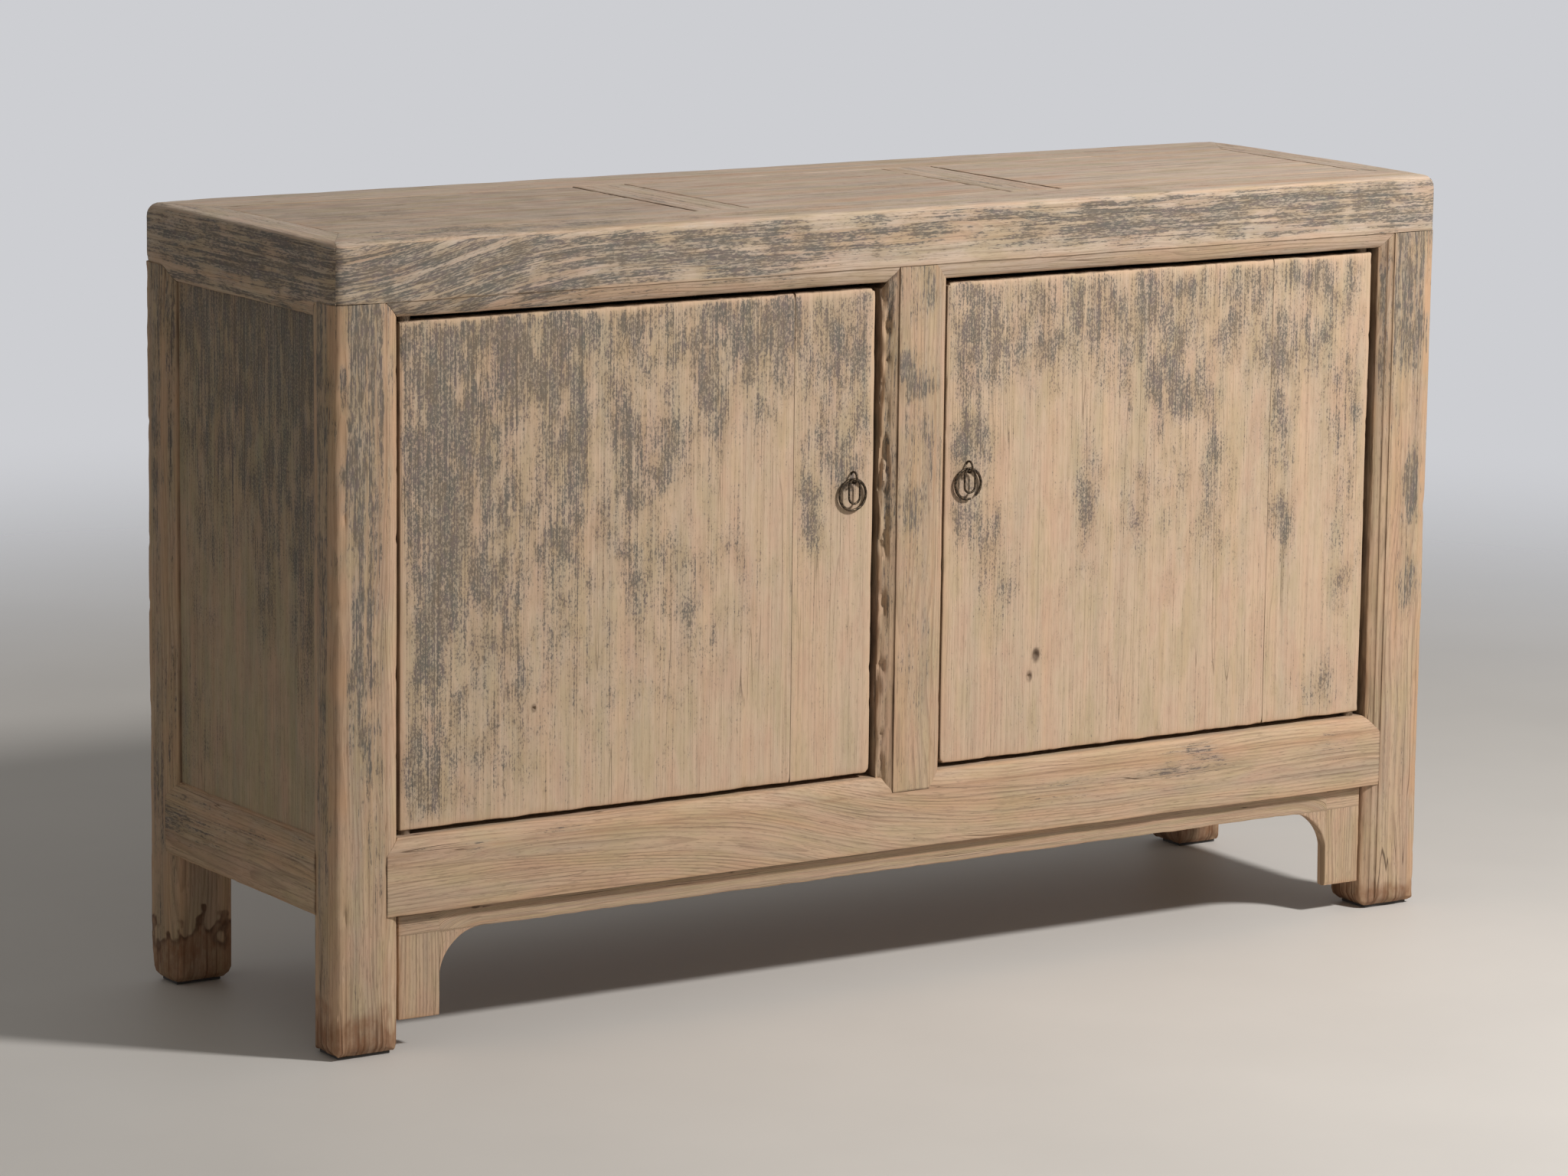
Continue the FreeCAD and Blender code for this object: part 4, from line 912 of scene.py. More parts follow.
    def painted(self, nodes: Recipe, colour: Socket, cover: Socket, flecks: Socket) -> Socket:
        """Lay the thin grey wash and then the flecks of paint over the wood.

        Args:
            nodes: the material's nodes.
            colour: the bare wood.
            cover: how much paint the place holds.
            flecks: where it is still whole.

        Returns:
            The colour of the painted wood.
        """
        tint = nodes.add("MapRange", (nodes.marks(13.0, 34.0, 2.0), 0.4, 0.6))
        stained = nodes.add("MapRange", (cover, 0.1, 0.5, 0.0, 0.4))
        stained = nodes.add("Math", (stained, tint), **TIMES)
        haze = nodes.add("MapRange", (cover, 0.15, 0.85, 0.0, 0.58))
        hue = nodes.add("MapRange", (nodes.marks(7.0, 14.0, 2.0), 0.48, 0.62, 0.0, 0.7))
        paint = nodes.layered(self.paint_cool, (tint, self.paint_warm), (hue, self.mauve))
        solid = nodes.add("Math", (flecks, 0.74), **TIMES)
        return nodes.layered(colour, (stained, self.ochre), (haze, self.wash), (solid, paint))


@dataclass(frozen=True)
class Iron(Finish):
    """Wrought iron, forged and blackened, worn to a dull brown where it rubs."""

    name: str = "wrought_iron_forged"
    black: str = "#332c24"
    rubbed: str = "#7b6751"
    scale_mm: float = 2.2  # the size of a hammered facet of fire scale
    roughness: float = 0.52

    def shader(self, nodes: Recipe) -> Socket:
        """Build the mottled fire scale.

        Args:
            nodes: the material's nodes.

        Returns:
            The shader.
        """
        place = nodes.add("TexCoord", out="Object")
        spots = nodes.add("TexNoise", {"Vector": place, "Scale": 1 / (self.scale_mm * MM), "Detail": 4.0})
        share = nodes.add("MapRange", (spots, 0.42, 0.72, 0.0, 0.85))
        rough = nodes.add("MapRange", (spots, 0.35, 0.7, self.roughness + 0.15, self.roughness - 0.1))
        bump = nodes.add("Bump", {"Strength": 0.6, "Distance": 0.15 * MM, "Height": spots})
        colour = nodes.layered(self.black, (share, self.rubbed))
        return nodes.add(
            "BsdfPrincipled", {"Base Color": colour, "Metallic": 0.85, "Roughness": rough, "Normal": bump}
        )


@dataclass(frozen=True)
class Felt(Finish):
    """Dense pressed felt under the feet: dark, quite matt, with short matted hairs."""

    name: str = "wool_felt_pressed"
    dark: str = "#2a2725"
    pale: str = "#4a4541"
    hair_mm: float = 0.9  # matted tufts, coarser than a hair so that they show

    def shader(self, nodes: Recipe) -> Socket:
        """Build the matted hairs.

        Args:
            nodes: the material's nodes.

        Returns:
            The shader.
        """
        place = nodes.add("TexCoord", out="Object")
        hairs = nodes.add("TexNoise", {"Vector": place, "Scale": 1 / (self.hair_mm * MM), "Detail": 3.0})
        bump = nodes.add("Bump", {"Strength": 0.5, "Distance": 0.3 * MM, "Height": hairs})
        colour = nodes.layered(self.dark, (hairs, self.pale))
        return nodes.add(
            "BsdfPrincipled", {"Base Color": colour, "Roughness": 0.95, "Normal": bump, "Sheen Weight": 0.3}
        )


@dataclass(frozen=True)
class Screed(Finish):
    """The studio floor: pale trowelled screed, plain, a little cooler far behind the cabinet."""

    name: str = "pale_screed_trowelled"
    near: str = "#d5cfc8"
    far: str = "#cdced1"
    cools: tuple[float, float] = (1.6, 5.0)  # metres from the cabinet's middle, over which it cools
    fades: tuple[float, float] = (1.3, 3.8)  # and over which it fades to the backdrop

    def shader(self, nodes: Recipe) -> Socket:
        """Build the faint trowelled clouds and the fading edge.

        Args:
            nodes: the material's nodes.

        Returns:
            The shader.
        """
        place = nodes.add("TexCoord", out="Object")
        away = nodes.add("VectorMath", (place,), "Value", operation="LENGTH")
        share = nodes.add("MapRange", (away, *self.cools), **SMOOTH)
        clouds = nodes.add("TexNoise", {"Vector": place, "Scale": 2.5, "Detail": 4.0})
        shade = nodes.add("MapRange", (clouds, 0.3, 0.7, 0.94, 1.0))
        colour = nodes.layered(self.near, (share, self.far))
        colour = nodes.add("VectorMath", (colour, shade), **TIMES)
        ground = nodes.add(
            "BsdfPrincipled", {"Base Color": colour, "Roughness": 0.6, "Specular IOR Level": 0.25}
        )
        gone = nodes.add("MapRange", (away, *self.fades), **SMOOTH)
        return nodes.add("MixShader", (gone, ground, nodes.add("BsdfTransparent")))


FRAME_ELM = Elm(
    "elm_weathered_frame", early="#c5a98c", late="#7d6652", grey="#a99682", warm="#c39d7a",
    fibre="#6d5a48", worn="#c79f7c", ring_mm=4.6, ring_contrast=0.5, wander_mm=13.0,
    fibre_contrast=0.36, fleck_mm=1.6, fleck_run_mm=8.0, streak_mm=6.0, streak_run_mm=150.0,
    streak_share=0.6, patchy=(0.4, 1.45), bare_rings=0.4, pore_contrast=0.36, check_contrast=0.8,
    banding=0.65,
)
TOP_ELM = replace(
    FRAME_ELM, name="elm_weathered_top", early="#ceb8a3", late="#8d7662", grey="#b6a696",
    warm="#c6a282", fibre="#76624f", worn="#cba887", ring_mm=5.0, ring_contrast=0.44, wander_mm=12.0,
    bare_rings=0.45, roughness=0.7, pore_contrast=0.34, check_contrast=0.7,
)
DOOR_ELM = Elm(
    "elm_weathered_doors", early="#ccb196", late="#a88c72", grey="#baa78f", warm="#cfac8a",
    fibre="#8a7460", worn="#d0ae8e", ring_mm=7.5, ring_contrast=0.2, wander_mm=5.0,
    wander_run_mm=900.0, fibre_mm=1.3, fibre_contrast=0.34, fibre_run_mm=150.0, pore_contrast=0.3,
    check_contrast=0.4, banding=0.5,
)
SIDE_ELM = Elm(
    "elm_weathered_sides", early="#b9a286", late="#8d775f", grey="#a0947c", warm="#b9977a",
    fibre="#6f604e", worn="#c4a284", olive="#a29a72", ring_mm=7.0, ring_contrast=0.16, wander_mm=6.0,
    wander_run_mm=800.0, fibre_contrast=0.26, check_contrast=0.5,
)
INNER_ELM = Elm(
    "elm_sawn_inside", early="#b08f6d", late="#85664a", grey="#9c8468", warm="#b58a63",
    fibre="#6a523d", worn="#b99672", ring_contrast=0.5, check_contrast=0.5,
)
FLOOR_ELM = replace(INNER_ELM, name="elm_sawn_floor", source=GrainSource.ROW_X)


def placed(name: str, data: bpy.types.ID) -> bpy.types.Object:
    """Put new data into the scene.

    Args:
        name: the object's name.
        data: its mesh, lamp or camera.

    Returns:
        The object.
    """
    made = bpy.data.objects.new(name, data)
    bpy.context.scene.collection.objects.link(made)
    return made


@dataclass
class Workshop:
    """Where pieces get their wear, their marks and their finish, and are set on their bodies."""

    bodies: dict[str, str]  # the body that each node rides on
    slots: dict[str, str]  # the material slot that each node takes
    finishes: dict[str, bpy.types.Material] = field(init=False)

    def __post_init__(self) -> None:
        """Make one material for each slot of the record, and one for the solids that are kept."""
        makers = {
            "frame_elm": FRAME_ELM, "top_elm": TOP_ELM, "door_elm": DOOR_ELM, "side_elm": SIDE_ELM,
            "inner_elm": INNER_ELM, "wrought_iron": Iron(), "foot_felt": Felt(), "solid_elm": FLOOR_ELM,
        }
        self.finishes = {slot: maker.material() for slot, maker in makers.items()}

    def set_up(self, node: str, skin: Skin, values: dict[str, Array] | None = None) -> bpy.types.Mesh:
        """Stand a surface in its node's place: meshed, finished, named and riding on its body.

        Args:
            node: the frame's name of the piece.
            skin: its finished surface.
            values: for each point, the values that its material reads.

        Returns:
            The mesh, shaded smooth but for its edges.
        """
        mesh = bpy.data.meshes.new(f"{node}_mesh")
        faces = [tuple(dict.fromkeys(quad)) for quad in skin.quads.tolist()]
        faces += [tuple(cap) for cap in skin.caps]
        mesh.from_pydata((skin.points * MM).tolist(), [], faces)
        mesh.shade_smooth()
        mesh.set_sharp_from_angle(angle=CREASE)
        for key, value in (values or {}).items():
            data = mesh.attributes.new(key, "FLOAT", "POINT").data
            data.foreach_set("value", value.astype(np.float32))
        slot = self.slots[node]
        mesh.materials.append(self.finishes[slot])
        piece = placed(f"{node}_worn", mesh)
        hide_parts(node)
        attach(piece, self.bodies[node])
        log.info("%s: %d faces, on %s, in %s", piece.name, len(faces), self.bodies[node], slot)
        return mesh

    def fit(
        self, node: str, skin: Skin, dressing: Dressing, face: Sequence[Sequence[float]] | None = None,
        shape: Callable[[Array], Array] | None = None,
    ) -> None:
        """Wear a member down, mark it and stand it in its node's place.

        Args:
            node: the frame's name of the member.
            skin: its sawn surface.
            dressing: its grain, wear, paint, dirt and painted shade.
            face: the corners of the face that its paint spreads over, if not the member's own box.
            shape: a last change to the points, such as a worn foot.
        """
        seed = seed_of(node)
        normals = skin.normals()
        sawn = skin.points
        skin = dressing.wear.apply(skin, dressing.axis, seed)
        if shape is not None:
            skin = replace(skin, points=shape(skin.points))
        low, high = sawn.min(axis=0), sawn.max(axis=0)
        if face is not None:
            low, high = np.array(face, float)
        paint = np.zeros(len(sawn))
        for coat in dressing.coats:
            paint = np.maximum(paint, coat.cover(sawn, normals, low, high, seed + 3))
        speckled = noise(sawn, SPECKLE, seed + 11, 3)
        wear = np.clip(skin.arris * (0.1 + 1.7 * np.clip(speckled - 0.2, 0, 1)), 0, 1)
        # Dirt, painted shade with grime in gaps and under rails, and darker inner corners.
        soil = dressing.soil(sawn, normals, speckled)
        dirt = np.clip(soil + 0.4 * skin.hollow * (0.4 + speckled), 0, 1)
        rise, line = dressing.damp
        damp = np.clip(1 - sawn[:, 2] / rise / 2, 0, 1)
        tide = np.full(len(sawn), line)
        values = {"wear": wear, "paint": paint, "dirt": dirt, "damp": damp, "tide": tide}
        mesh = self.set_up(node, skin, values)
        grain = (dressing.grain(sawn, seed) * MM).astype(np.float32).reshape(-1)
        mesh.attributes.new("grain", "FLOAT_VECTOR", "POINT").data.foreach_set("vector", grain)

    def keep_sawn(self, frame_nodes: dict[str, bpy.types.Object], names: Sequence[str]) -> None:
        """Give CAD solids whose shape is right their finish.

        Args:
            frame_nodes: the frame's objects by name.
            names: the nodes that stay as they are.
        """
        for name in names:
            materials = frame_nodes[name].data.materials
            materials.clear()
            materials.append(self.finishes["solid_elm"])
            log.info("%s: kept as sawn, in %s", name, self.slots[name])


# The cabinet


class Profile(Enum):
    """How much of a moulding is left, as corners in shares of its width and drop."""

    CRISP = ((0.0, 0.17), (0.42, 0.32), (0.46, 0.48), (1.0, 1.0))
    SOFT = ((0.0, 0.13), (0.5, 0.42), (1.0, 1.0))
    STEPPED = ((0.0, 0.17), (1.0, 1.0))
    WORN = ((1.0, 1.0),)


@dataclass
class Case:
    """The sizes that the case's members share, in mm, and the places that follow from them."""

    width: float = 1400.0
    depth: float = 420.0
    height: float = 834.0
    leg_width: float = 77.0
    back_leg_width: float = 70.0
    leg_depth: float = 60.0
    top_rail_height: float = 62.0
    top_rail_width: float = 82.0
    top_end_width: float = 50.0
    rail_ground: float = 143.5
    rail_height: float = 80.5
    moulding_width: float = 17.0
    moulding_drop: float = 9.0
    panel_recess: float = 12.0
    panel_thickness: float = 12.0
    pad_thickness: float = 3.5
    stile_width: float = 82.0

    def __post_init__(self) -> None:
        """Work out the places, as on the left half."""
        self.left, self.front = -self.width / 2, -self.depth / 2
        self.shoulder = self.height - self.top_rail_height  # where the legs meet the top
        self.head = self.shoulder - self.moulding_width  # the openings' upper edge
        self.sill = self.rail_ground + self.rail_height  # their lower edge
        self.sill_flat = self.sill - self.moulding_width  # where the low rails' flat ends
        self.jamb = self.left + self.leg_width  # the opening's outer edge
        self.flat_x = self.jamb - self.moulding_width  # where the front leg's flat ends
        self.back_jamb = self.left + self.back_leg_width
        self.side_front = self.front + self.leg_depth  # the side opening's front edge
        self.flat_front = self.side_front - self.moulding_width  # where the leg's side flat ends

    def moulding(
        self, flat: float, towards: int, face: float, profile: Profile = Profile.CRISP,
        depth_first: bool = False,
    ) -> list[Corner]:
        """List the corners of the moulding, from the edge of the flat to the opening.

        Args:
            flat: where the flat ends.
            towards: 1 or -1, the way to the opening.
            face: the place of the show face.
            profile: how much of the moulding is left.
            depth_first: whether the section's first direction is the depth.

        Returns:
            The corners, the flat's own edge first.
        """
        first_ease = 4.5 if profile is Profile.WORN else 0.9
        inner_ease = 2.5 if profile is Profile.SOFT else 0.75
        marks = [(0.0, 0.0, first_ease, 0.75), *((a, d, inner_ease, 0.35) for a, d in profile.value)]
        marks[-1] = (*profile.value[-1], 1.9, 0.8)
        corners = []
        for across, drop, ease, wear in marks:
            place = (flat + towards * self.moulding_width * across, face + self.moulding_drop * drop)
            corners.append(Corner(*(place[::-1] if depth_first else place), ease, wear))
        return corners


def even_ends(start: Callable[[Array], Array]) -> Ends:
    """Return ends that lie alike on both sides of the middle, each short of its joint by the gap."""
    return lambda points: (start(points) + JOINT_GAP, -start(points) - JOINT_GAP)


def level_ends(low: float, high: float) -> Ends:
    """Return ends square to the member."""
    return lambda section: (np.full(len(section), low), np.full(len(section), high))


@dataclass
class Assembly:
    """A sub-assembly of the cabinet."""

    shop: Workshop
    case: Case


FOOT_DAMP = {
    "leg_front_left": (54.0, 0.0), "leg_front_right": (32.0, 0.0),
    "leg_back_left": (64.0, 1.0), "leg_back_right": (48.0, 0.6),
}
LEG_PATCHES = {
    Side.LEFT: (
        (35, 95, 60, 12, 85), (40, 74, 32, 24, 80), (45, 50, 25, 16, 60),
        (75, 84, 15, 20, 40), (55, 30, 20, 10, 35),
    ),
    Side.RIGHT: (
        (60, 92, 80, 15, 90), (75, 63, 30, 7, 75), (70, 48, 20, 5, 45),
        (30, 82, 30, 10, 30),
    ),
}


@dataclass
class Legs(Assembly):
    """The four corner legs with their foot pads."""

    outer_round: float = 13.0
    foot_chamfer: float = 7.0
    worn_run: float = 17.0
    worn_rise: float = 58.0
    foot_rough: float = 6.0  # how uneven the chamfer is
    worn_rough: float = 4.0

    def build(self) -> None:
        """Make the legs and set a pad under each."""
        for side in Side:
            self.front_leg(side)
            self.back_leg(side)
        for place in ("front_left", "front_right", "back_left", "back_right"):
            node = f"foot_pad_{place}"
            low, high = (np.array(corner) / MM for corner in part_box(node))
            skin = boarded(low, high, ease=0.8, step=4.0)
            self.shop.set_up(node, Wear(0.0, 0.3, 0.0).apply(skin, Axis.X, seed_of(node)))

    def front_leg(self, side: Side) -> None:
        """Make one front leg, moulded towards the door and towards the side panel.

        Args:
            side: the side of the cabinet.
        """
        case = self.case
        profile = Profile.SOFT if side is Side.LEFT else Profile.CRISP
        section = [
            Corner(case.left, case.front, self.outer_round, 1.0),
            *case.moulding(case.flat_x, 1, case.front, profile),
            Corner(case.jamb, case.side_front, 1.0, 0.3),
            *reversed(case.moulding(case.flat_front, 1, case.left, Profile.WORN, True)),
        ]
        side_patches = ((50, 85, 90, 25, 70), (40, 45, 60, 25, 45))
        coats = (Coat(Facing.FRONT, 0.17, LEG_PATCHES[side]), Coat(side.outward, 0.3, side_patches))
        # Its faces into the openings get painted shade and grime above the sill.
        self.leg("front", side, section, coats, (side.inward, Facing.BACK), lambda points: np.maximum(
            points[:, 0] - case.flat_x, points[:, 1] - case.flat_front,
        ))

    def back_leg(self, side: Side) -> None:
        """Make one back leg, moulded towards the side panel.

        Args:
            side: the side of the cabinet.
        """
        case = self.case
        flat = -case.flat_front
        section = [
            Corner(case.left, -case.front, self.outer_round, 1.0),
            *case.moulding(flat, -1, case.left, Profile.WORN, True),
            Corner(case.back_jamb, -case.side_front, 1.0, 0.3),
            Corner(case.back_jamb, -case.front, 1.5, 0.6),
        ]
        patches = ((40, 85, 80, 25, 60), (50, 30, 60, 20, 40))
        coats = (Coat(side.outward, 0.3, patches), Coat(Facing.BACK, 0.15))
        # Its faces into the openings get painted shade and grime above the sill.
        grimy = (side.inward, Facing.FRONT)
        self.leg("back", side, section, coats, grimy, lambda points: flat - points[:, 1])

    def leg(
        self, row: str, side: Side, section: list[Corner], coats: tuple[Coat, ...],
        grimy: tuple[Facing, ...], past: Callable[[Array], Array],
    ) -> None:
        """Sweep a leg, mitre its head with the top's rails and shape its foot.

        Args:
            row: front or back.
            side: the side of the cabinet that it stands on.
            section: the left leg's plan.
            coats: the paint left on it.
            grimy: its faces towards the openings, darkened as painted shade and grime.
            past: gives how far a section point lies past the flat, where the head is mitred.
        """
        case, node = self.case, f"leg_{row}_{side.word}"

        def ends(points: Array) -> tuple[Array, Array]:
            """Stand the leg on its pad and mitre its head."""
            high = case.shoulder - np.maximum(past(points), 0) - JOINT_GAP
            return np.full(len(points), case.pad_thickness), high

        skin = swept(section, Axis.Z, ends).on(side)
        low, high = skin.points.min(axis=0), skin.points.max(axis=0)
        seed = seed_of(node)

        def foot(points: Array) -> Array:
            """Chamfer the foot unevenly, and take the long worn corner off the left back one.

            Args:
                points: the leg's points.

            Returns:
                The points of the shaped foot.
            """
            points = points.copy()
            rough = self.foot_rough * (noise(points, (12, 12, 8), seed + 31, 2) - 0.35)
            rise = points[:, 2] - case.pad_thickness
            cut = np.maximum(self.foot_chamfer + rough - rise, 0)[:, None]
            points[:, :2] = np.clip(points[:, :2], low[:2] + cut, high[:2] - cut)
            if node == "leg_back_left":
                most = high[1] - self.worn_run * (1 - points[:, 2] / self.worn_rise)
                most += self.worn_rough * (noise(points, (16, 16, 9), seed + 33, 2) - 0.8)
                near_foot = points[:, 2] < self.worn_rise * 1.15
                points[:, 1] = np.where(near_foot, np.minimum(points[:, 1], most), points[:, 1])
            return points

        dressing = Dressing(Axis.Z, Wear(1.8, 0.35, 2.6), coats, (46.0, 58.0), 0.15, grimy,
                            case.sill_flat, damp=FOOT_DAMP[node])
        self.shop.fit(node, skin, dressing, shape=foot)


@dataclass
class Top(Assembly):
    """The mitred top frame with its two cross rails and three flush panels."""

    corner_round: float = 14.0
    edge_round: float = 7.0
    ball_round: float = 9.0  # how much rounder the upper edge is at the corners
    ball_reach: float = 40.0
    edge_wave: float = 55.0  # the length over which the edge's rounding changes
    cross_rail_width: float = 64.0
    cross_rail_height: float = 40.0
    cross_places: tuple[float, float] = (-193.0, 207.0)
    panel_thickness: float = 16.0
    panel_line: float = 0.6
    shrunk_line: float = 2.6  # the wider line where a panel's end has drawn back
    wear: Wear = Wear(1.5, 0.35, 1.6)

    def build(self) -> None:
        """Make the four rails of the frame, then what they hold."""
        self.front_rail()
        self.back_rail()
        for side in Side:
            self.end_rail(side)
        for place, word in zip(self.cross_places, ("left", "right")):
            self.cross_rail(place, word)
        self.panels()

    def softened(self, points: Array) -> Array:
        """Round the upright corners and the upper edge of the whole top.

        Args:
            points: points of any of its rails, in mm.

        Returns:
            The points moved onto the rounded outline.
        """
        case = self.case
        half = np.array((case.width / 2, case.depth / 2)) - self.corner_round
        core = np.clip(points[:, :2], -half, half)
        out = points[:, :2] - core
        inset = self.corner_round - np.abs(out).max(axis=1)
        drop = case.height - points[:, 2]
        aside = np.hypot(case.width / 2 - np.abs(points[:, 0]), case.depth / 2 - np.abs(points[:, 1]))
        radius = self.edge_round * (0.75 + 0.7 * noise(points, self.edge_wave, 77, 2))
        radius += self.ball_round * np.exp(-((aside / self.ball_reach) ** 2))
        radius = np.minimum(radius, self.corner_round)
        into = np.stack([np.minimum(inset - radius, 0), np.minimum(drop - radius, 0)], axis=1)
        length = np.linalg.norm(into, axis=1)
        in_edge = (drop < radius) & (inset < radius) & (length > 0)
        scale = np.where(in_edge, np.abs(into).max(axis=1) / np.maximum(length, TINY), 1.0)
        inset = np.where(in_edge, radius + into[:, 0] * scale, inset)
        drop = np.where(in_edge, radius + into[:, 1] * scale, drop)
        away = np.linalg.norm(out, axis=1)
        moved = core + out / np.maximum(away, TINY)[:, None] * (self.corner_round - inset)[:, None]
        result = points.copy()
        result[:, :2] = np.where(away[:, None] > TINY, moved, points[:, :2])
        result[:, 2] = case.height - drop
        return result

    def ends(
        self, start: float, face: float, run: float, width: float, lip: Callable[[Array], Array]
    ) -> Ends:
        """Mitre a rail's slab in plan, and its lip as told.

        Args:
            start: where the slab starts at its outer face.
            face: the place of that face.
            run: how far the mitre runs along the rail.
            width: how far it runs across it.
            lip: gives where the lip starts.

        Returns:
            The rail's ends.
        """
        return even_ends(lambda points: np.where(
            points[:, 1] >= self.case.shoulder - 0.01,
            start + np.abs(points[:, 0] - face) * run / width,
            lip(points),
        ))

    def front_rail(self) -> None:
        """Make the front rail, whose moulded lip heads the doors."""
        case = self.case
        inner = case.front + case.top_rail_width
        section = [
            Corner(case.front, case.height, 0.0, 1.0),
            *case.moulding(case.shoulder, -1, case.front, Profile.SOFT, True),
            Corner(case.side_front, case.head, 1.0, 0.2), Corner(case.side_front, case.shoulder, 0.3),
            Corner(inner, case.shoulder, 0.3), Corner(inner, case.height, 0.4, 0.2),
        ]
        ends = self.ends(case.left, case.front, case.top_end_width, case.top_rail_width,
                         lambda points: case.flat_x + case.shoulder - points[:, 1])
        patches = (
            (7, 55, 17, 100, 97), (22, 60, 20, 50, 85), (36, 55, 6, 40, 60),
            (50, 75, 12, 25, 40), (66, 72, 20, 35, 85), (88, 68, 15, 40, 75),
            (97, 60, 5, 50, 50),
        )
        top = ((12, 50, 20, 80, 45), (55, 50, 40, 60, 20))
        coats = (Coat(Facing.FRONT, 0.2, patches), Coat(Facing.TOP, 0.12, top))
        # Its underside gets painted shade and grime.
        dressing = Dressing(Axis.X, self.wear, coats, (52.0, 20.0), 0.1, (Facing.UNDER,),
                            slant=(-560.0, -30.0, 110.0))
        self.shop.fit("top_front_rail", swept(section, Axis.X, ends), dressing, shape=self.softened)

    def back_rail(self) -> None:
        """Make the back rail, with a plain lip that butts between the back legs."""
        case = self.case
        back, inner = -case.front, -case.front - case.top_rail_width
        section = [
            Corner(back, case.height, 0.0, 1.0), Corner(inner, case.height, 0.4, 0.2),
            Corner(inner, case.shoulder, 0.3), Corner(-case.side_front, case.shoulder, 0.3),
            Corner(-case.side_front, case.head, 1.0, 0.2), Corner(back, case.head, 1.0, 0.6),
        ]
        ends = self.ends(case.left, back, case.top_end_width, case.top_rail_width,
                         lambda points: np.full(len(points), case.back_jamb))
        coats = (Coat(Facing.TOP, 0.15), Coat(Facing.BACK, 0.2))
        dressing = Dressing(Axis.X, self.wear, coats, heart=(-60.0, 30.0))
        self.shop.fit("top_back_rail", swept(section, Axis.X, ends), dressing, shape=self.softened)

    def end_rail(self, side: Side) -> None:
        """Make one end rail, with a moulded lip above the side panel.

        Args:
            side: the side of the cabinet.
        """
        case = self.case
        inner = case.left + case.top_end_width
        section = [
            Corner(case.left, case.height, 0.0, 1.0),
            *case.moulding(case.shoulder, -1, case.left, Profile.WORN, True),
            Corner(inner, case.head, 1.0, 0.2), Corner(inner, case.height, 0.4, 0.2),
        ]
        ends = self.ends(case.front, case.left, case.top_rail_width, case.top_end_width,
                         lambda points: case.flat_front + case.shoulder - points[:, 1])
        patches = ((20, 50, 30, 90, 95), (60, 60, 40, 60, 80))
        coats = (Coat(side.outward, 0.45, patches), Coat(Facing.TOP, 0.35))
        # Its underside gets painted shade and grime.
        dressing = Dressing(Axis.Y, Wear(1.5, 0.35, 1.8), coats, (30.0, 40.0), 0.15, (Facing.UNDER,))
        skin = swept(section, Axis.Y, ends).on(side)
        self.shop.fit(f"top_end_rail_{side.word}", skin, dressing, shape=self.softened)

    def cross_rail(self, place: float, word: str) -> None:
        """Make one cross rail between the front and back rails.

        Args:
            place: the X of its middle.
            word: left or right.
        """
        case = self.case
        half, inner = self.cross_rail_width / 2, case.front + case.top_rail_width + JOINT_GAP
        low = (place - half, inner, case.height - self.cross_rail_height)
        skin = boarded(low, (place + half, -inner, case.height), ease=0.9)
        seams = (Seam(Axis.X, place - half, 2.2, 0.6), Seam(Axis.X, place + half, 4.5, 0.7))
        coats = (Coat(Facing.TOP, 0.2, ((30, 30, 50, 30, 30),)),)
        # Its faces towards the panels get painted shade and grime.
        dressing = Dressing(Axis.Y, Wear(0.8, 0.3, 1.2), coats, (24.0, 50.0), 0.1,
                            (Facing.LEFT, Facing.RIGHT), seams=seams)
        self.shop.fit(f"top_cross_rail_{word}", skin, dressing)

    def panels(self) -> None:
        """Lay the three flush panels in the frame, with an open line round each."""
        case = self.case
        half, line, shrunk = self.cross_rail_width / 2, self.panel_line, self.shrunk_line
        inner_x, inner_y = case.left + case.top_end_width, case.front + case.top_rail_width
        left, right = self.cross_places
        # The panels darken towards the left with more dirt and paint: partly painted shade where the key
        # light falls off.
        for word, low_x, high_x, base, dirt, patches in (
            ("left", inner_x + line, left - half - shrunk, 0.14, 0.55,
             ((10, 30, 30, 50, 25), (70, 40, 50, 60, 12))),
            ("middle", left + half + line, right - half - line, 0.08, 0.22,
             ((30, 30, 40, 30, 15), (80, 60, 20, 50, 15))),
            ("right", right + half + shrunk, -inner_x - line, 0.0, 0.0, ((20, 20, 20, 30, 10),)),
        ):
            low = (low_x, inner_y + line, case.height - self.panel_thickness)
            high = (high_x, -inner_y - line, case.height)
            coats = (Coat(Facing.TOP, base, patches),)
            # Their edge faces in the open lines get painted shade and grime.
            dressing = Dressing(Axis.X, Wear(0.6, 0.4, 1.0), coats, (25.0, 75.0), dirt,
                                (Facing.LEFT, Facing.RIGHT))
            self.shop.fit(f"top_panel_{word}", boarded(low, high, ease=0.7), dressing)


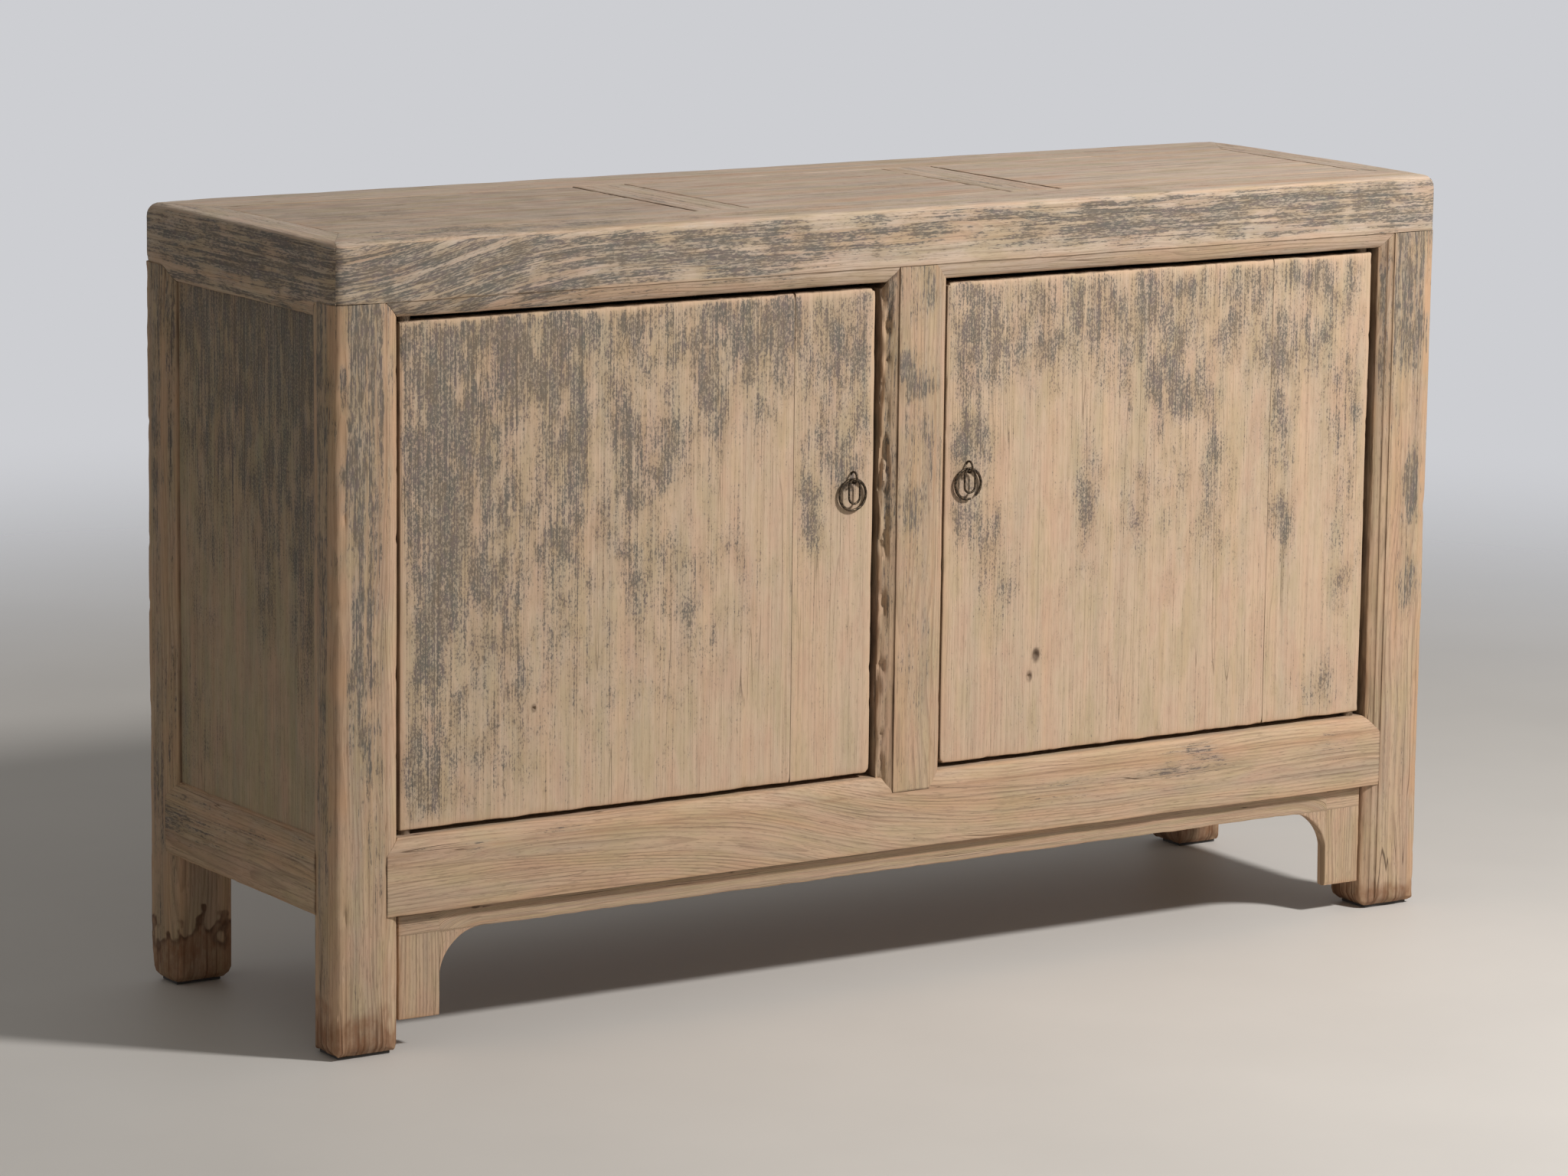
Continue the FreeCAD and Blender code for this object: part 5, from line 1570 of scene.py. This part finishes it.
@dataclass
class Front(Assembly):
    """What frames the doors below and between: the stile, the low rail and the apron."""

    stile_depth: float = 48.0
    open_mitre: float = 6.0  # how far the stile's upper left mitre has worn open at its outer edge
    chips_from: float = 0.48  # the share of noise above which the stile's bevel is chipped
    chip_depth: float = 20.0  # how fast a chip deepens above that
    chip_inset: float = 6.0  # how far past the flat the chips start
    chip_reach: float = 14.0  # how far behind the front they stop
    chip_fade: float = 4.0
    rail_depth: float = 48.0
    apron_recess: float = 10.0
    apron_thickness: float = 14.0
    apron_strip: float = 24.0
    apron_arc: float = 50.0
    apron_end_line: float = 1.2
    apron_wave: float = 1.5  # how unevenly its lower edge is sawn
    bracket_width: float = 48.0
    bracket_ground: float = 32.0

    def build(self) -> None:
        """Make the stile, the rail and the apron."""
        self.stile()
        self.low_rail()
        self.apron()

    def stile(self) -> None:
        """Make the post between the doors, mitred over both rails."""
        case = self.case
        side, back = case.stile_width / 2, case.front + self.stile_depth
        flat = side - case.moulding_width
        section = [
            *reversed(case.moulding(-flat, -1, case.front, Profile.STEPPED)),
            *case.moulding(flat, 1, case.front),
            Corner(side, back, 1.0, 0.3), Corner(-side, back, 1.0, 0.3),
        ]

        def ends(points: Array) -> tuple[Array, Array]:
            """Mitre both ends with the rails' mouldings.

            Args:
                points: its section's points.

            Returns:
                Where each of them starts and stops.
            """
            past = np.maximum(np.abs(points[:, 0]) - flat, 0)
            share = np.clip((-flat - points[:, 0]) / case.moulding_width, 0, 1)
            opened = JOINT_GAP + self.open_mitre * share**2
            return case.sill_flat + past + JOINT_GAP, case.shoulder - past - opened

        seed = seed_of("centre_stile")

        def chewed(points: Array) -> Array:
            """Chip the left bevel unevenly, as years of a door's edge have.

            Args:
                points: the post's points.

            Returns:
                The points of the chipped post.
            """
            points = points.copy()
            rough = noise(points, (9, 9, 15), seed + 41, 3) - self.chips_from
            bite = np.clip(rough, 0, 1) * self.chip_depth
            on_bevel = np.clip((-flat - self.chip_inset - points[:, 0]) / self.chip_fade, 0, 1)
            near_front = np.clip((case.front + self.chip_reach - points[:, 1]) / self.chip_fade, 0, 1)
            points[:, 1] += bite * on_bevel * near_front
            points[:, 0] += 0.5 * bite * on_bevel * near_front
            return points

        patches = (
            (45, 95, 45, 6, 70), (40, 80, 25, 5, 80), (60, 77, 30, 2, 60),
            (10, 70, 10, 30, 30), (10, 25, 10, 25, 40), (55, 62, 50, 10, 45),
            (35, 50, 30, 10, 40), (50, 30, 60, 12, 20),
        )
        mitre = ((-38.0, 754.0, 2.2), (-33.0, 760.5, 1.8), (-28.5, 767.0, 1.4))
        # Its faces into the door gaps get painted shade and grime; dark lines run along the mitres and where
        # the left bevel leaves the flat.
        dressing = Dressing(
            Axis.Z, Wear(1.2, 0.4, 2.4), (Coat(Facing.FRONT, 0.2, patches),), (20.0, 48.0), 0.08,
            (Facing.LEFT, Facing.RIGHT), knots=mitre,
            seams=(Seam(Axis.Z, case.sill_flat, 1.4), Seam(Axis.X, -flat, 1.0, 0.7)),
        )
        self.shop.fit("centre_stile", swept(section, Axis.Z, ends), dressing, shape=chewed)

    def low_rail(self) -> None:
        """Make the low front rail, a moulded sill whose ears are mitred over the legs."""
        case = self.case
        back = case.front + self.rail_depth
        section = [
            Corner(case.front, case.rail_ground, 1.8, 0.7), Corner(back, case.rail_ground, 1.0, 0.3),
            Corner(back, case.sill, 0.5),
            *reversed(case.moulding(case.sill_flat, 1, case.front, Profile.SOFT, True)),
        ]
        ends = even_ends(lambda points: case.flat_x + np.maximum(points[:, 1] - case.sill_flat, 0))
        patches = (
            (79, 72, 5, 30, 55), (66, 55, 4, 20, 40), (95, 80, 5, 30, 35),
            (12, 80, 10, 20, 25),
        )
        seams = tuple(Seam(Axis.X, place, 1.0, 0.5) for place in (case.flat_x, -case.flat_x))
        # Its underside over the apron gets painted shade and grime.
        dressing = Dressing(Axis.X, Wear(1.4, 0.4, 1.6), (Coat(Facing.FRONT, 0.1, patches),), (28.0, 34.0),
                            0.1, (Facing.UNDER,), slant=(-110.0, 42.0, 140.0), seams=seams)
        self.shop.fit("bottom_front_rail", swept(section, Axis.X, ends), dressing)

    def apron(self) -> None:
        """Make the apron: a strip with a square bracket and a round inner corner at each end."""
        case = self.case
        reach = case.width / 2 - case.leg_width - self.apron_end_line
        arch_side = reach - self.bracket_width
        strip_low = case.rail_ground - self.apron_strip
        arc_x = arch_side - self.apron_arc
        turns = np.radians(np.arange(0, 90, 6))
        arc = arc_x + self.apron_arc * np.cos(turns)
        near = sorted({*arc, *(-arc), arch_side + 0.4, -arch_side - 0.4})
        front = case.front + self.apron_recess
        low = (-reach, front, self.bracket_ground)
        high = (reach, front + self.apron_thickness, case.rail_ground - JOINT_GAP)
        skin = boarded(low, high, ease=1.4, near={Axis.X: near, Axis.Z: (strip_low,)}, step=5.0)

        def arched(points: Array) -> Array:
            """Draw the lower edge up to the strip between the brackets.

            Args:
                points: the board's points.

            Returns:
                The points of the arched board.
            """
            inside = arch_side - np.abs(points[:, 0])
            turn = np.clip(self.apron_arc - inside, 0, self.apron_arc)
            lift = strip_low - self.apron_arc + np.sqrt(self.apron_arc**2 - turn**2)
            floor = np.where(inside > 0, lift, self.bracket_ground)
            floor += self.apron_wave * (noise(points, (18, 18, 400), 93, 2) - 0.2) * (inside > 0)
            share = (points[:, 2] - low[2]) / (high[2] - low[2])
            return np.column_stack([points[:, :2], floor + share * (high[2] - floor)])

        def bracket(points: Array) -> Array:
            """Find the brackets, whose grain stands upright."""
            return (np.abs(points[:, 0]) > arc_x) & (arched(points)[:, 2] < strip_low + 1)

        coats = (Coat(Facing.FRONT, 0.05, ((3, 90, 3, 20, 25),)),)
        marks = ((-531.0, 131.0, 3.2), (-520.0, 126.0, 2.0), (-221.0, 132.0, 1.6), (267.0, 135.0, 1.8))
        # The dark line along the apron's top edge is painted shade under the low rail; its underside gets
        # none here.
        dressing = Dressing(Axis.X, Wear(1.3, 0.4, 1.8), coats, (30.0, 26.0), 0.25, knots=marks,
                            seams=(Seam(Axis.Z, case.rail_ground, 2.6),), upright=bracket)
        self.shop.fit("front_apron", skin, dressing, shape=arched)


@dataclass
class Walls(Assembly):
    """The side walls, the back and the floor."""

    side_rail_depth: float = 40.0
    soft_drop: float = 3.0
    soft_rise: float = 6.0
    back_rail_depth: float = 40.0
    back_stile_width: float = 60.0
    tongue: float = 7.5
    wear: Wear = Wear(0.2, 0.5, 0.0)

    def build(self) -> None:
        """Make both sides, then the back and the floor."""
        for side in Side:
            self.side_rail(side)
            self.side_panel(side)
            self.back_panel(side)
        self.back_frame()
        for node, axis in (("floor_board_middle", Axis.X), ("floor_bearer", Axis.Y)):
            low, high = (np.array(corner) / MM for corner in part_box(node))
            skin = boarded(low, high, ease=0.8, step=9.0)
            self.shop.fit(node, skin, Dressing(axis, heart=(30.0, 60.0), dirt=0.2))

    def side_rail(self, side: Side) -> None:
        """Make one low side rail, whose moulding is worn to a soft slope.

        Args:
            side: the side of the cabinet.
        """
        case = self.case
        inner = case.left + self.side_rail_depth
        section = [
            Corner(case.left, case.rail_ground, 2.2, 0.9), Corner(inner, case.rail_ground, 1.0, 0.3),
            Corner(inner, case.sill, 0.5), Corner(case.left + case.moulding_drop, case.sill, 3.0, 1.0),
            Corner(case.left + self.soft_drop, case.sill_flat + self.soft_rise, 2.5, 0.5),
            Corner(case.left, case.sill_flat, 4.0, 0.5),
        ]
        ends = even_ends(lambda points: case.flat_front + np.maximum(points[:, 1] - case.sill_flat, 0))
        patches = ((90, 60, 30, 50, 55), (30, 80, 30, 30, 30))
        seams = (Seam(Axis.Y, case.flat_front, 2.2), Seam(Axis.Y, -case.flat_front, 1.4, 0.5))
        dressing = Dressing(Axis.Y, Wear(2.6, 0.5, 2.6), (Coat(side.outward, 0.12, patches),),
                            (34.0, 26.0), 0.2, seams=seams)
        skin = swept(section, Axis.Y, ends).on(side)
        self.shop.fit(f"bottom_side_rail_{side.word}", skin, dressing)

    def side_panel(self, side: Side) -> None:
        """Make one side panel, of a board whose grain stands upright.

        Args:
            side: the side of the cabinet.
        """
        case = self.case
        outer = case.left + case.panel_recess
        reach = -case.side_front + self.tongue
        low = (outer, -reach, case.sill - self.tongue)
        high = (outer + case.panel_thickness, reach, case.head + self.tongue)
        patches = (
            (30, 95, 70, 16, 75), (15, 75, 25, 25, 65), (55, 72, 20, 20, 50),
            (85, 80, 20, 20, 50), (35, 50, 12, 20, 40), (10, 45, 10, 25, 45),
            (80, 50, 15, 20, 25), (90, 12, 20, 12, 30),
        )
        dressing = Dressing(Axis.Z, self.wear, (Coat(side.outward, 0.2, patches),), (40.0, 90.0), 0.25)
        self.shop.fit(f"side_panel_{side.word}", boarded(low, high, ease=0.5).on(side), dressing)

    def back_panel(self, side: Side) -> None:
        """Make one back panel, plain and set back between the legs and the back stile.

        Args:
            side: the side of the cabinet.
        """
        case = self.case
        outer, inner = case.back_jamb - self.tongue, -self.back_stile_width / 2 + self.tongue
        back = -case.front - case.panel_recess
        low = (outer, back - case.panel_thickness, case.sill - self.tongue)
        skin = boarded(low, (inner, back, case.head + self.tongue), ease=0.5).on(side)
        dressing = Dressing(Axis.Z, self.wear, (Coat(Facing.BACK, 0.1),), (180.0, 60.0), 0.3)
        self.shop.fit(f"back_panel_{side.word}", skin, dressing)

    def back_frame(self) -> None:
        """Make the back stile and the low back rail."""
        case = self.case
        half, back = self.back_stile_width / 2, -case.front
        inner = case.back_jamb + JOINT_GAP
        for node, axis, low_x, high_x, low_z, high_z in (
            ("back_centre_stile", Axis.Z, -half, half, case.sill, case.head),
            ("bottom_back_rail", Axis.X, inner, -inner, case.rail_ground, case.sill),
        ):
            low = (low_x, back - self.back_rail_depth, low_z)
            skin = boarded(low, (high_x, back, high_z), ease=1.6)
            self.shop.fit(node, skin, Dressing(axis, heart=(30.0, 40.0), dirt=0.3))


DOOR_PATCHES = {
    Side.LEFT: (
        (40, 98, 70, 30, 25), (14, 93, 24, 17, 75), (8, 72, 12, 16, 60),
        (90, 95, 25, 12, 25), (94, 65, 5, 4.5, 60), (50, 97, 32, 9, 50),
        (7, 47, 5.5, 22, 85), (15, 55, 8, 20, 40), (34, 72, 4.5, 26, 75),
        (23, 33, 2, 16, 50), (28, 55, 10, 20, 30), (47, 66, 5, 20, 50),
        (55, 72, 3.5, 16, 55), (65, 84, 4, 14, 50), (76, 88, 8, 12, 40),
        (86, 60, 3.5, 14, 55), (94, 78, 6, 22, 50), (5, 10, 6, 12, 50),
        (40, 35, 30, 25, 22), (14, 25, 14, 20, 35), (60, 45, 20, 20, 15),
    ),
    Side.RIGHT: (
        (40, 97, 70, 22, 36), (12, 90, 15, 13, 36), (6, 65.5, 5, 5, 40),
        (6, 72, 6, 16, 30), (55, 60, 20, 30, 15), (35, 96, 30, 8, 30),
        (42, 88, 12, 10, 25), (53, 76, 6, 10, 45), (62, 62, 2, 20, 40),
        (84, 88, 14, 15, 35), (95, 62, 6, 20, 35), (79, 66, 4, 22, 40),
        (95, 36, 4, 14, 35), (80, 40, 3, 12, 35), (12, 40, 5, 15, 35),
        (33, 52, 3, 13, 35), (5, 55, 6, 10, 40), (90, 8, 8, 8, 25),
        (50, 50, 25, 20, 12),
    ),
}


@dataclass
class Door(Assembly):
    """One door: two boards, two battens and the wooden pins that it turns on."""

    side: Side
    pull_board_width: float
    knots: tuple[Knot, ...]
    recess: float = 13.0
    thickness: float = 20.0
    gap: float = 4.0
    arris: float = 3.0
    corner: float = 8.0
    seam_line: float = 0.24
    pin_inset: float = 10.0
    pin_radius: float = 7.0
    pin_seat: float = 14.0
    batten_width: float = 40.0
    batten_proud: float = 10.0
    batten_flare: float = 3.0
    batten_inset: float = 70.0
    batten_reach: float = 36.0
    knot_depth: float = 2.4
    knot_reach: float = 4.0  # how far behind the face a point still sinks

    def __post_init__(self) -> None:
        """Work out the door's edges and faces, as on a left door."""
        case = self.case
        self.outer, self.inner = case.jamb + self.gap, -case.stile_width / 2 - self.gap
        self.face = case.front + self.recess
        self.back = self.face + self.thickness
        self.low, self.high = case.sill + self.gap, case.head - self.gap

    def build(self) -> None:
        """Make the door's boards and battens."""
        seam, half = self.inner - self.pull_board_width, self.seam_line / 2
        self.board("pin", self.outer, seam - half, 1, (160.0, 55.0))
        self.board("pull", seam + half, self.inner, -1, (-120.0, 70.0))
        inset = self.batten_inset + self.batten_width / 2
        for level, middle in (("lower", self.low + inset), ("upper", self.high - inset)):
            self.batten(level, middle)

    def board(self, word: str, low_x: float, high_x: float, joint: int, heart: tuple[float, float]) -> None:
        """Make one board of the door.

        Args:
            word: pin or pull.
            low_x: the X of its left edge, as on a left door.
            high_x: the X of its right edge.
            joint: -1 or 1, its edge along the seam.
            heart: how far the tree's heart lies from its middle.
        """
        sign = -self.side.value
        near = {Axis.X: [sign * across for across, _, _ in self.knots],
                Axis.Z: [height for _, height, _ in self.knots]}
        skin = boarded((low_x, self.face, self.low), (high_x, self.back, self.high), self.arris,
                       (Axis.X, joint), near, step=5.0)
        if word == "pull":
            skin = replace(skin, points=self.cornered(skin.points))
        else:
            skin = skin.with_parts(self.pins())
        edges = sorted((sign * self.outer, sign * self.inner))
        face = ((edges[0], self.face, self.low), (edges[1], self.back, self.high))
        # Painted shade: dark lines along the top and bottom edges by the gaps, and darkened edge faces that
        # look into the gaps, with some grime.
        seams = (Seam(Axis.Z, self.low - self.gap / 2, 2.2, 2.4),
                 Seam(Axis.Z, self.high + self.gap / 2, 2.2, 2.4))
        coats = (Coat(Facing.FRONT, 0.15, DOOR_PATCHES[self.side]),)
        dressing = Dressing(Axis.Z, Wear(1.5, 0.45, 1.6), coats, heart, 0.08,
                            (Facing.LEFT, Facing.RIGHT, Facing.TOP, Facing.UNDER), knots=self.knots,
                            seams=seams)
        node = f"door_{self.side.word}_{word}_board"
        self.shop.fit(node, skin.on(self.side), dressing, face, self.knotted)

    def cornered(self, points: Array) -> Array:
        """Round the free edge's upper and lower corners, as on a left door.

        Args:
            points: the board's points.

        Returns:
            The points on the rounded outline.
        """
        core_x = self.inner - self.corner
        core_z = np.clip(points[:, 2], self.low + self.corner, self.high - self.corner)
        out = np.column_stack([np.maximum(points[:, 0] - core_x, 0), points[:, 2] - core_z])
        most, length = np.abs(out).max(axis=1), np.linalg.norm(out, axis=1)
        scale = np.where((out != 0).all(axis=1), most / np.maximum(length, TINY), 1.0)
        result = points.copy()
        result[:, 0] = np.where(out[:, 0] > 0, core_x + out[:, 0] * scale, points[:, 0])
        result[:, 2] = core_z + out[:, 1] * scale
        return result

    def knotted(self, points: Array) -> Array:
        """Sink the small knot holes into the face.

        Args:
            points: the board's points.

        Returns:
            The points, those in a knot set back.
        """
        points = points.copy()
        for across, height, radius in self.knots:
            away = np.hypot(points[:, 0] - across, points[:, 2] - height)
            dip = self.knot_depth * np.clip(1 - away / radius, 0, 1) ** 0.5
            points[:, 1] += np.where(points[:, 1] < self.face + self.knot_reach, dip, 0)
        return points

    def pins(self) -> list[Skin]:
        """Turn the two pins on the hung edge, as on a left door.

        Returns:
            Their surfaces.
        """
        x, y = self.outer + self.pin_inset, (self.face + self.back) / 2
        ring = [
            Corner(x + self.pin_radius * math.cos(turn), y + self.pin_radius * math.sin(turn), 0.0)
            for turn in np.radians(np.arange(0, 360, 15))
        ]
        spans = ((self.case.sill - self.pin_seat, self.low + self.arris),
                 (self.high - self.arris, self.case.head + self.pin_seat))
        return [swept(ring, Axis.Z, level_ends(*span), step=7.0) for span in spans]

    def batten(self, level: str, middle: float) -> None:
        """Make one dovetailed batten, proud of the door's back.

        Args:
            level: upper or lower.
            middle: the height of its middle.
        """
        sunk, proud = self.back - self.arris, self.back + self.batten_proud
        wide, narrow = self.batten_width / 2, self.batten_width / 2 - self.batten_flare
        section = [
            Corner(sunk, middle - wide, 0.3), Corner(self.back, middle - narrow, 0.3),
            Corner(proud, middle - narrow, 1.5, 0.6), Corner(proud, middle + narrow, 1.5, 0.6),
            Corner(self.back, middle + narrow, 0.3), Corner(sunk, middle + wide, 0.3),
        ]
        ends = level_ends(self.outer + self.batten_reach, self.inner - self.batten_reach)
        dressing = Dressing(Axis.X, Wear(1.0, 0.3, 1.0), heart=(30.0, 36.0), dirt=0.15)
        skin = swept(section, Axis.X, ends).on(self.side)
        self.shop.fit(f"door_{self.side.word}_batten_{level}", skin, dressing)


@dataclass
class Pull(Assembly):
    """One iron pull: a split pin whose eye holds a round ring and an oval link."""

    side: Side
    place_x: float = 74.0
    height: float = 551.0
    eye_y: float = -201.5
    eye_radius: float = 6.0
    eye_wire: float = 1.2
    door_back: float = -177.0
    clinch: float = 11.0
    ring_radius: float = 16.5
    ring_wire: float = 1.5
    ring_points: int = 72
    opened: tuple[float, float] = (-52.0, 283.0)  # degrees at which the sprung right ring ends
    link_reach: float = 25.5
    link_radius: float = 6.75
    link_wire: float = 1.25
    hang_drop: float = 2.2
    hang_spread: float = 1.7
    sides: int = 14

    def build(self) -> None:
        """Bend the eye, the ring and the link."""
        self.eye()
        self.ring()
        self.link()

    def wire(self, node: str, path: Array, radius: float, closed: bool, taper: float = 0.0) -> None:
        """Forge a wire along a path, a little uneven, and hang it in its node's place.

        Args:
            node: the frame's name of the piece, without its side.
            path: the Y and height of the wire's middle line, or its X too, in mm, on the left door.
            radius: the wire's radius.
            closed: whether its ends are welded together.
            taper: how much thinner its open ends are, as a share.
        """
        node = f"{node}_{self.side.word}"
        path = path * np.array((self.side.value * -1, 1, 1))
        count = len(path)
        if closed:
            tangent = np.roll(path, -1, axis=0) - np.roll(path, 1, axis=0)
        else:
            tangent = np.gradient(path, axis=0)
        tangent /= np.linalg.norm(tangent, axis=1, keepdims=True)
        mean = np.linalg.svd(path - path.mean(axis=0))[2][2]
        beside = np.cross(tangent, mean)
        beside /= np.linalg.norm(beside, axis=1, keepdims=True)
        above = np.cross(beside, tangent)
        thick = radius * (0.94 + 0.06 * noise(path, 5, seed_of(node), 2))
        if not closed:
            end = np.minimum(np.arange(count), np.arange(count)[::-1]) / 6
            thick *= 1 - taper * np.clip(1 - end, 0, 1)
        turns = np.linspace(0, 2 * np.pi, self.sides, endpoint=False)[None, :, None]
        around = np.cos(turns) * beside[:, None] + np.sin(turns) * above[:, None]
        points = path[:, None] + around * thick[:, None, None]
        index = np.arange(count * self.sides).reshape(count, self.sides)
        ahead = np.roll(index, -1, axis=0) if closed else index[1:]
        here = index if closed else index[:-1]
        quads = np.stack([here, np.roll(here, -1, axis=1), np.roll(ahead, -1, axis=1), ahead], axis=-1)
        caps = [] if closed else [index[0][::-1].tolist(), index[-1].tolist()]
        flat = np.zeros(index.size)
        skin = Skin(points.reshape(-1, 3), quads.reshape(-1, 4), flat, flat, caps).turned_out()
        self.shop.set_up(node, skin)

    def eye(self) -> None:
        """Bend the split pin: up behind the door, through it, round the eye, back and down."""
        split = self.eye_wire + 0.1
        clinch_y = self.door_back + self.eye_wire + 0.1
        start = math.pi / 2 - math.acos(split / self.eye_radius)
        turns = np.linspace(start, 2 * math.pi - start, 40)
        loop = np.column_stack([
            np.full(40, -self.place_x), self.eye_y + self.eye_radius * np.cos(turns),
            self.height + self.eye_radius * np.sin(turns),
        ])

        def leg(sign: int) -> Array:
            """Bend one leg, from its clinched tip to the eye.

            Args:
                sign: 1 for the upper leg, -1 for the lower.

            Returns:
                The leg's middle line.
            """
            level = self.height + sign * split
            tip = np.linspace(level + sign * (self.clinch - self.eye_wire), level + sign * 1.5, 9)
            back = np.column_stack([np.full(9, clinch_y), tip])
            elbow = np.array([(clinch_y - 0.4, level + sign * 0.5), (clinch_y - 1.3, level)])
            run = np.linspace(clinch_y - 2.5, loop[0, 1] + 1.0, 9)
            through = np.column_stack([run, np.full(9, level)])
            line = np.concatenate([back, elbow, through])
            return np.column_stack([np.full(len(line), -self.place_x), line])

        path = np.concatenate([leg(1), loop, leg(-1)[::-1]])
        self.wire("pull_eye", path, self.eye_wire, closed=False, taper=0.4)

    def ring(self) -> None:
        """Bend the round ring next to the door; the right one has sprung open at its foot."""
        middle = self.height - self.hang_drop - self.ring_radius
        opened = self.side is Side.RIGHT
        start, stop = (math.radians(end) for end in (self.opened if opened else (0, 360)))
        turns = np.linspace(start, stop, self.ring_points, endpoint=opened)
        if opened:
            turns = math.pi - turns  # the gap lies at the lower right, seen from the front
        path = np.column_stack([
            -self.place_x + self.ring_radius * np.cos(turns),
            np.full(self.ring_points, self.eye_y + self.hang_spread),
            middle + self.ring_radius * np.sin(turns),
        ])
        self.wire("pull_ring", path, self.ring_wire, not opened, taper=0.25)

    def link(self) -> None:
        """Bend the oval link in front of the ring."""
        high = self.height - self.hang_drop - self.link_radius
        low = self.height - self.hang_drop - self.link_reach + self.link_radius
        upper = np.radians(np.linspace(0, 180, 22))
        turns = np.concatenate([upper, upper + math.pi])
        middles = np.repeat((high, low), len(upper))
        path = np.column_stack([
            self.link_radius * np.cos(turns) - self.place_x,
            np.full(len(turns), self.eye_y - self.hang_spread),
            middles + self.link_radius * np.sin(turns),
        ])
        self.wire("pull_link", path, self.link_wire, closed=True)


@dataclass
class Studio:
    """A pale floor, a soft key lamp from the front right, weak fill, and the camera."""

    azimuth: float = -33.0  # degrees round from the front
    elevation: float = 10.3  # degrees above level
    roll: float = 0.688  # degrees
    lens: float = 132.8  # mm, on a sensor 36 mm wide
    sensor: float = 36.0
    camera_place: tuple[float, float, float] = (-3.414, -5.212, 1.526)
    key_place: tuple[float, float, float] = (1.4, -2.3, 2.6)
    key_aim: tuple[float, float, float] = (0.0, 0.0, 0.4)
    key_size: float = 0.4
    key_power: float = 110.0
    fill_strength: float = 0.26
    fill_colour: str = "#ecebe6"
    backdrop: str = "#cdced2"
    floor_reach: float = 60.0  # metres, past every view

    def build(self) -> None:
        """Set the studio up."""
        self.camera()
        self.lamp()
        self.surroundings()
        self.floor()

    def camera(self) -> None:
        """Stand the camera where the photograph was taken from."""
        a, e, r = (math.radians(angle) for angle in (self.azimuth, self.elevation, self.roll))
        back = Vector((math.sin(a) * math.cos(e), -math.cos(a) * math.cos(e), math.sin(e)))
        right = Vector((math.cos(a), math.sin(a), 0))
        up = back.cross(right)
        rolled_right = right * math.cos(r) + up * math.sin(r)
        rolled_up = up * math.cos(r) - right * math.sin(r)
        data = bpy.data.cameras.new("Camera")
        data.lens, data.sensor_width = self.lens, self.sensor
        camera = placed("Camera", data)
        turn = Matrix((rolled_right, rolled_up, back)).transposed().to_4x4()
        camera.matrix_world = Matrix.Translation(self.camera_place) @ turn
        bpy.context.scene.camera = camera

    def lamp(self) -> None:
        """Hang the soft key lamp and aim it at the cabinet's middle."""
        data = bpy.data.lights.new("Key", "AREA")
        data.shape, data.size, data.energy = "DISK", self.key_size, self.key_power
        lamp = placed("Key", data)
        lamp.location = self.key_place
        aim = Vector(self.key_aim) - Vector(self.key_place)
        lamp.rotation_euler = aim.to_track_quat("-Z", "Y").to_euler()

    def surroundings(self) -> None:
        """Fill the shadows weakly from all round, and show the camera a plain pale backdrop."""
        world = bpy.data.worlds.new("Studio")
        world.use_nodes = True
        world.node_tree.nodes.clear()
        nodes = Recipe(world.node_tree)
        fill = nodes.add("Background", (self.fill_colour, self.fill_strength))
        shown = nodes.add("Background", (self.backdrop, 1.0))
        seen = nodes.add("LightPath", out="Is Camera Ray")
        for ray in ("Is Glossy Ray", "Is Transmission Ray"):
            seen = nodes.add("Math", (seen, nodes.add("LightPath", out=ray)), operation="ADD", **CLAMPED)
        nodes.add("OutputWorld", (nodes.add("MixShader", (seen, fill, shown)),))
        bpy.context.scene.world = world
        bpy.context.scene.view_settings.view_transform = "Standard"

    def floor(self) -> None:
        """Lay the pale floor."""
        reach = self.floor_reach
        mesh = bpy.data.meshes.new("Floor")
        corners = [(-reach, -reach, 0), (reach, -reach, 0), (reach, reach, 0), (-reach, reach, 0)]
        mesh.from_pydata(corners, [], [(0, 1, 2, 3)])
        mesh.materials.append(Screed().material())
        floor = placed("Floor", mesh)


def main() -> None:
    """Build the cabinet round its frame."""
    logging.basicConfig(level=logging.INFO, format="%(message)s")
    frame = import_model()
    record = frame["record"]
    bodies = {node: body for body, nodes in record["behaviour"]["bodies"].items() for node in nodes}
    slots = {part["node"]: part["material_slot"] for part in record["subparts"]}
    Studio().build()
    shop, case = Workshop(bodies, slots), Case()
    for assembly in (Legs, Top, Front, Walls):
        assembly(shop, case).build()
    shop.keep_sawn(frame["nodes"], ("floor_board_front", "floor_board_back"))
    Door(shop, case, Side.LEFT, 102.0, ((-461.0, 341.0, 2.0),)).build()
    Door(shop, case, Side.RIGHT, 436.0, ((169.5, 337.0, 3.3), (161.0, 314.0, 2.6))).build()
    for side in Side:
        Pull(shop, case, side).build()


if __name__ == "__main__":
    main()
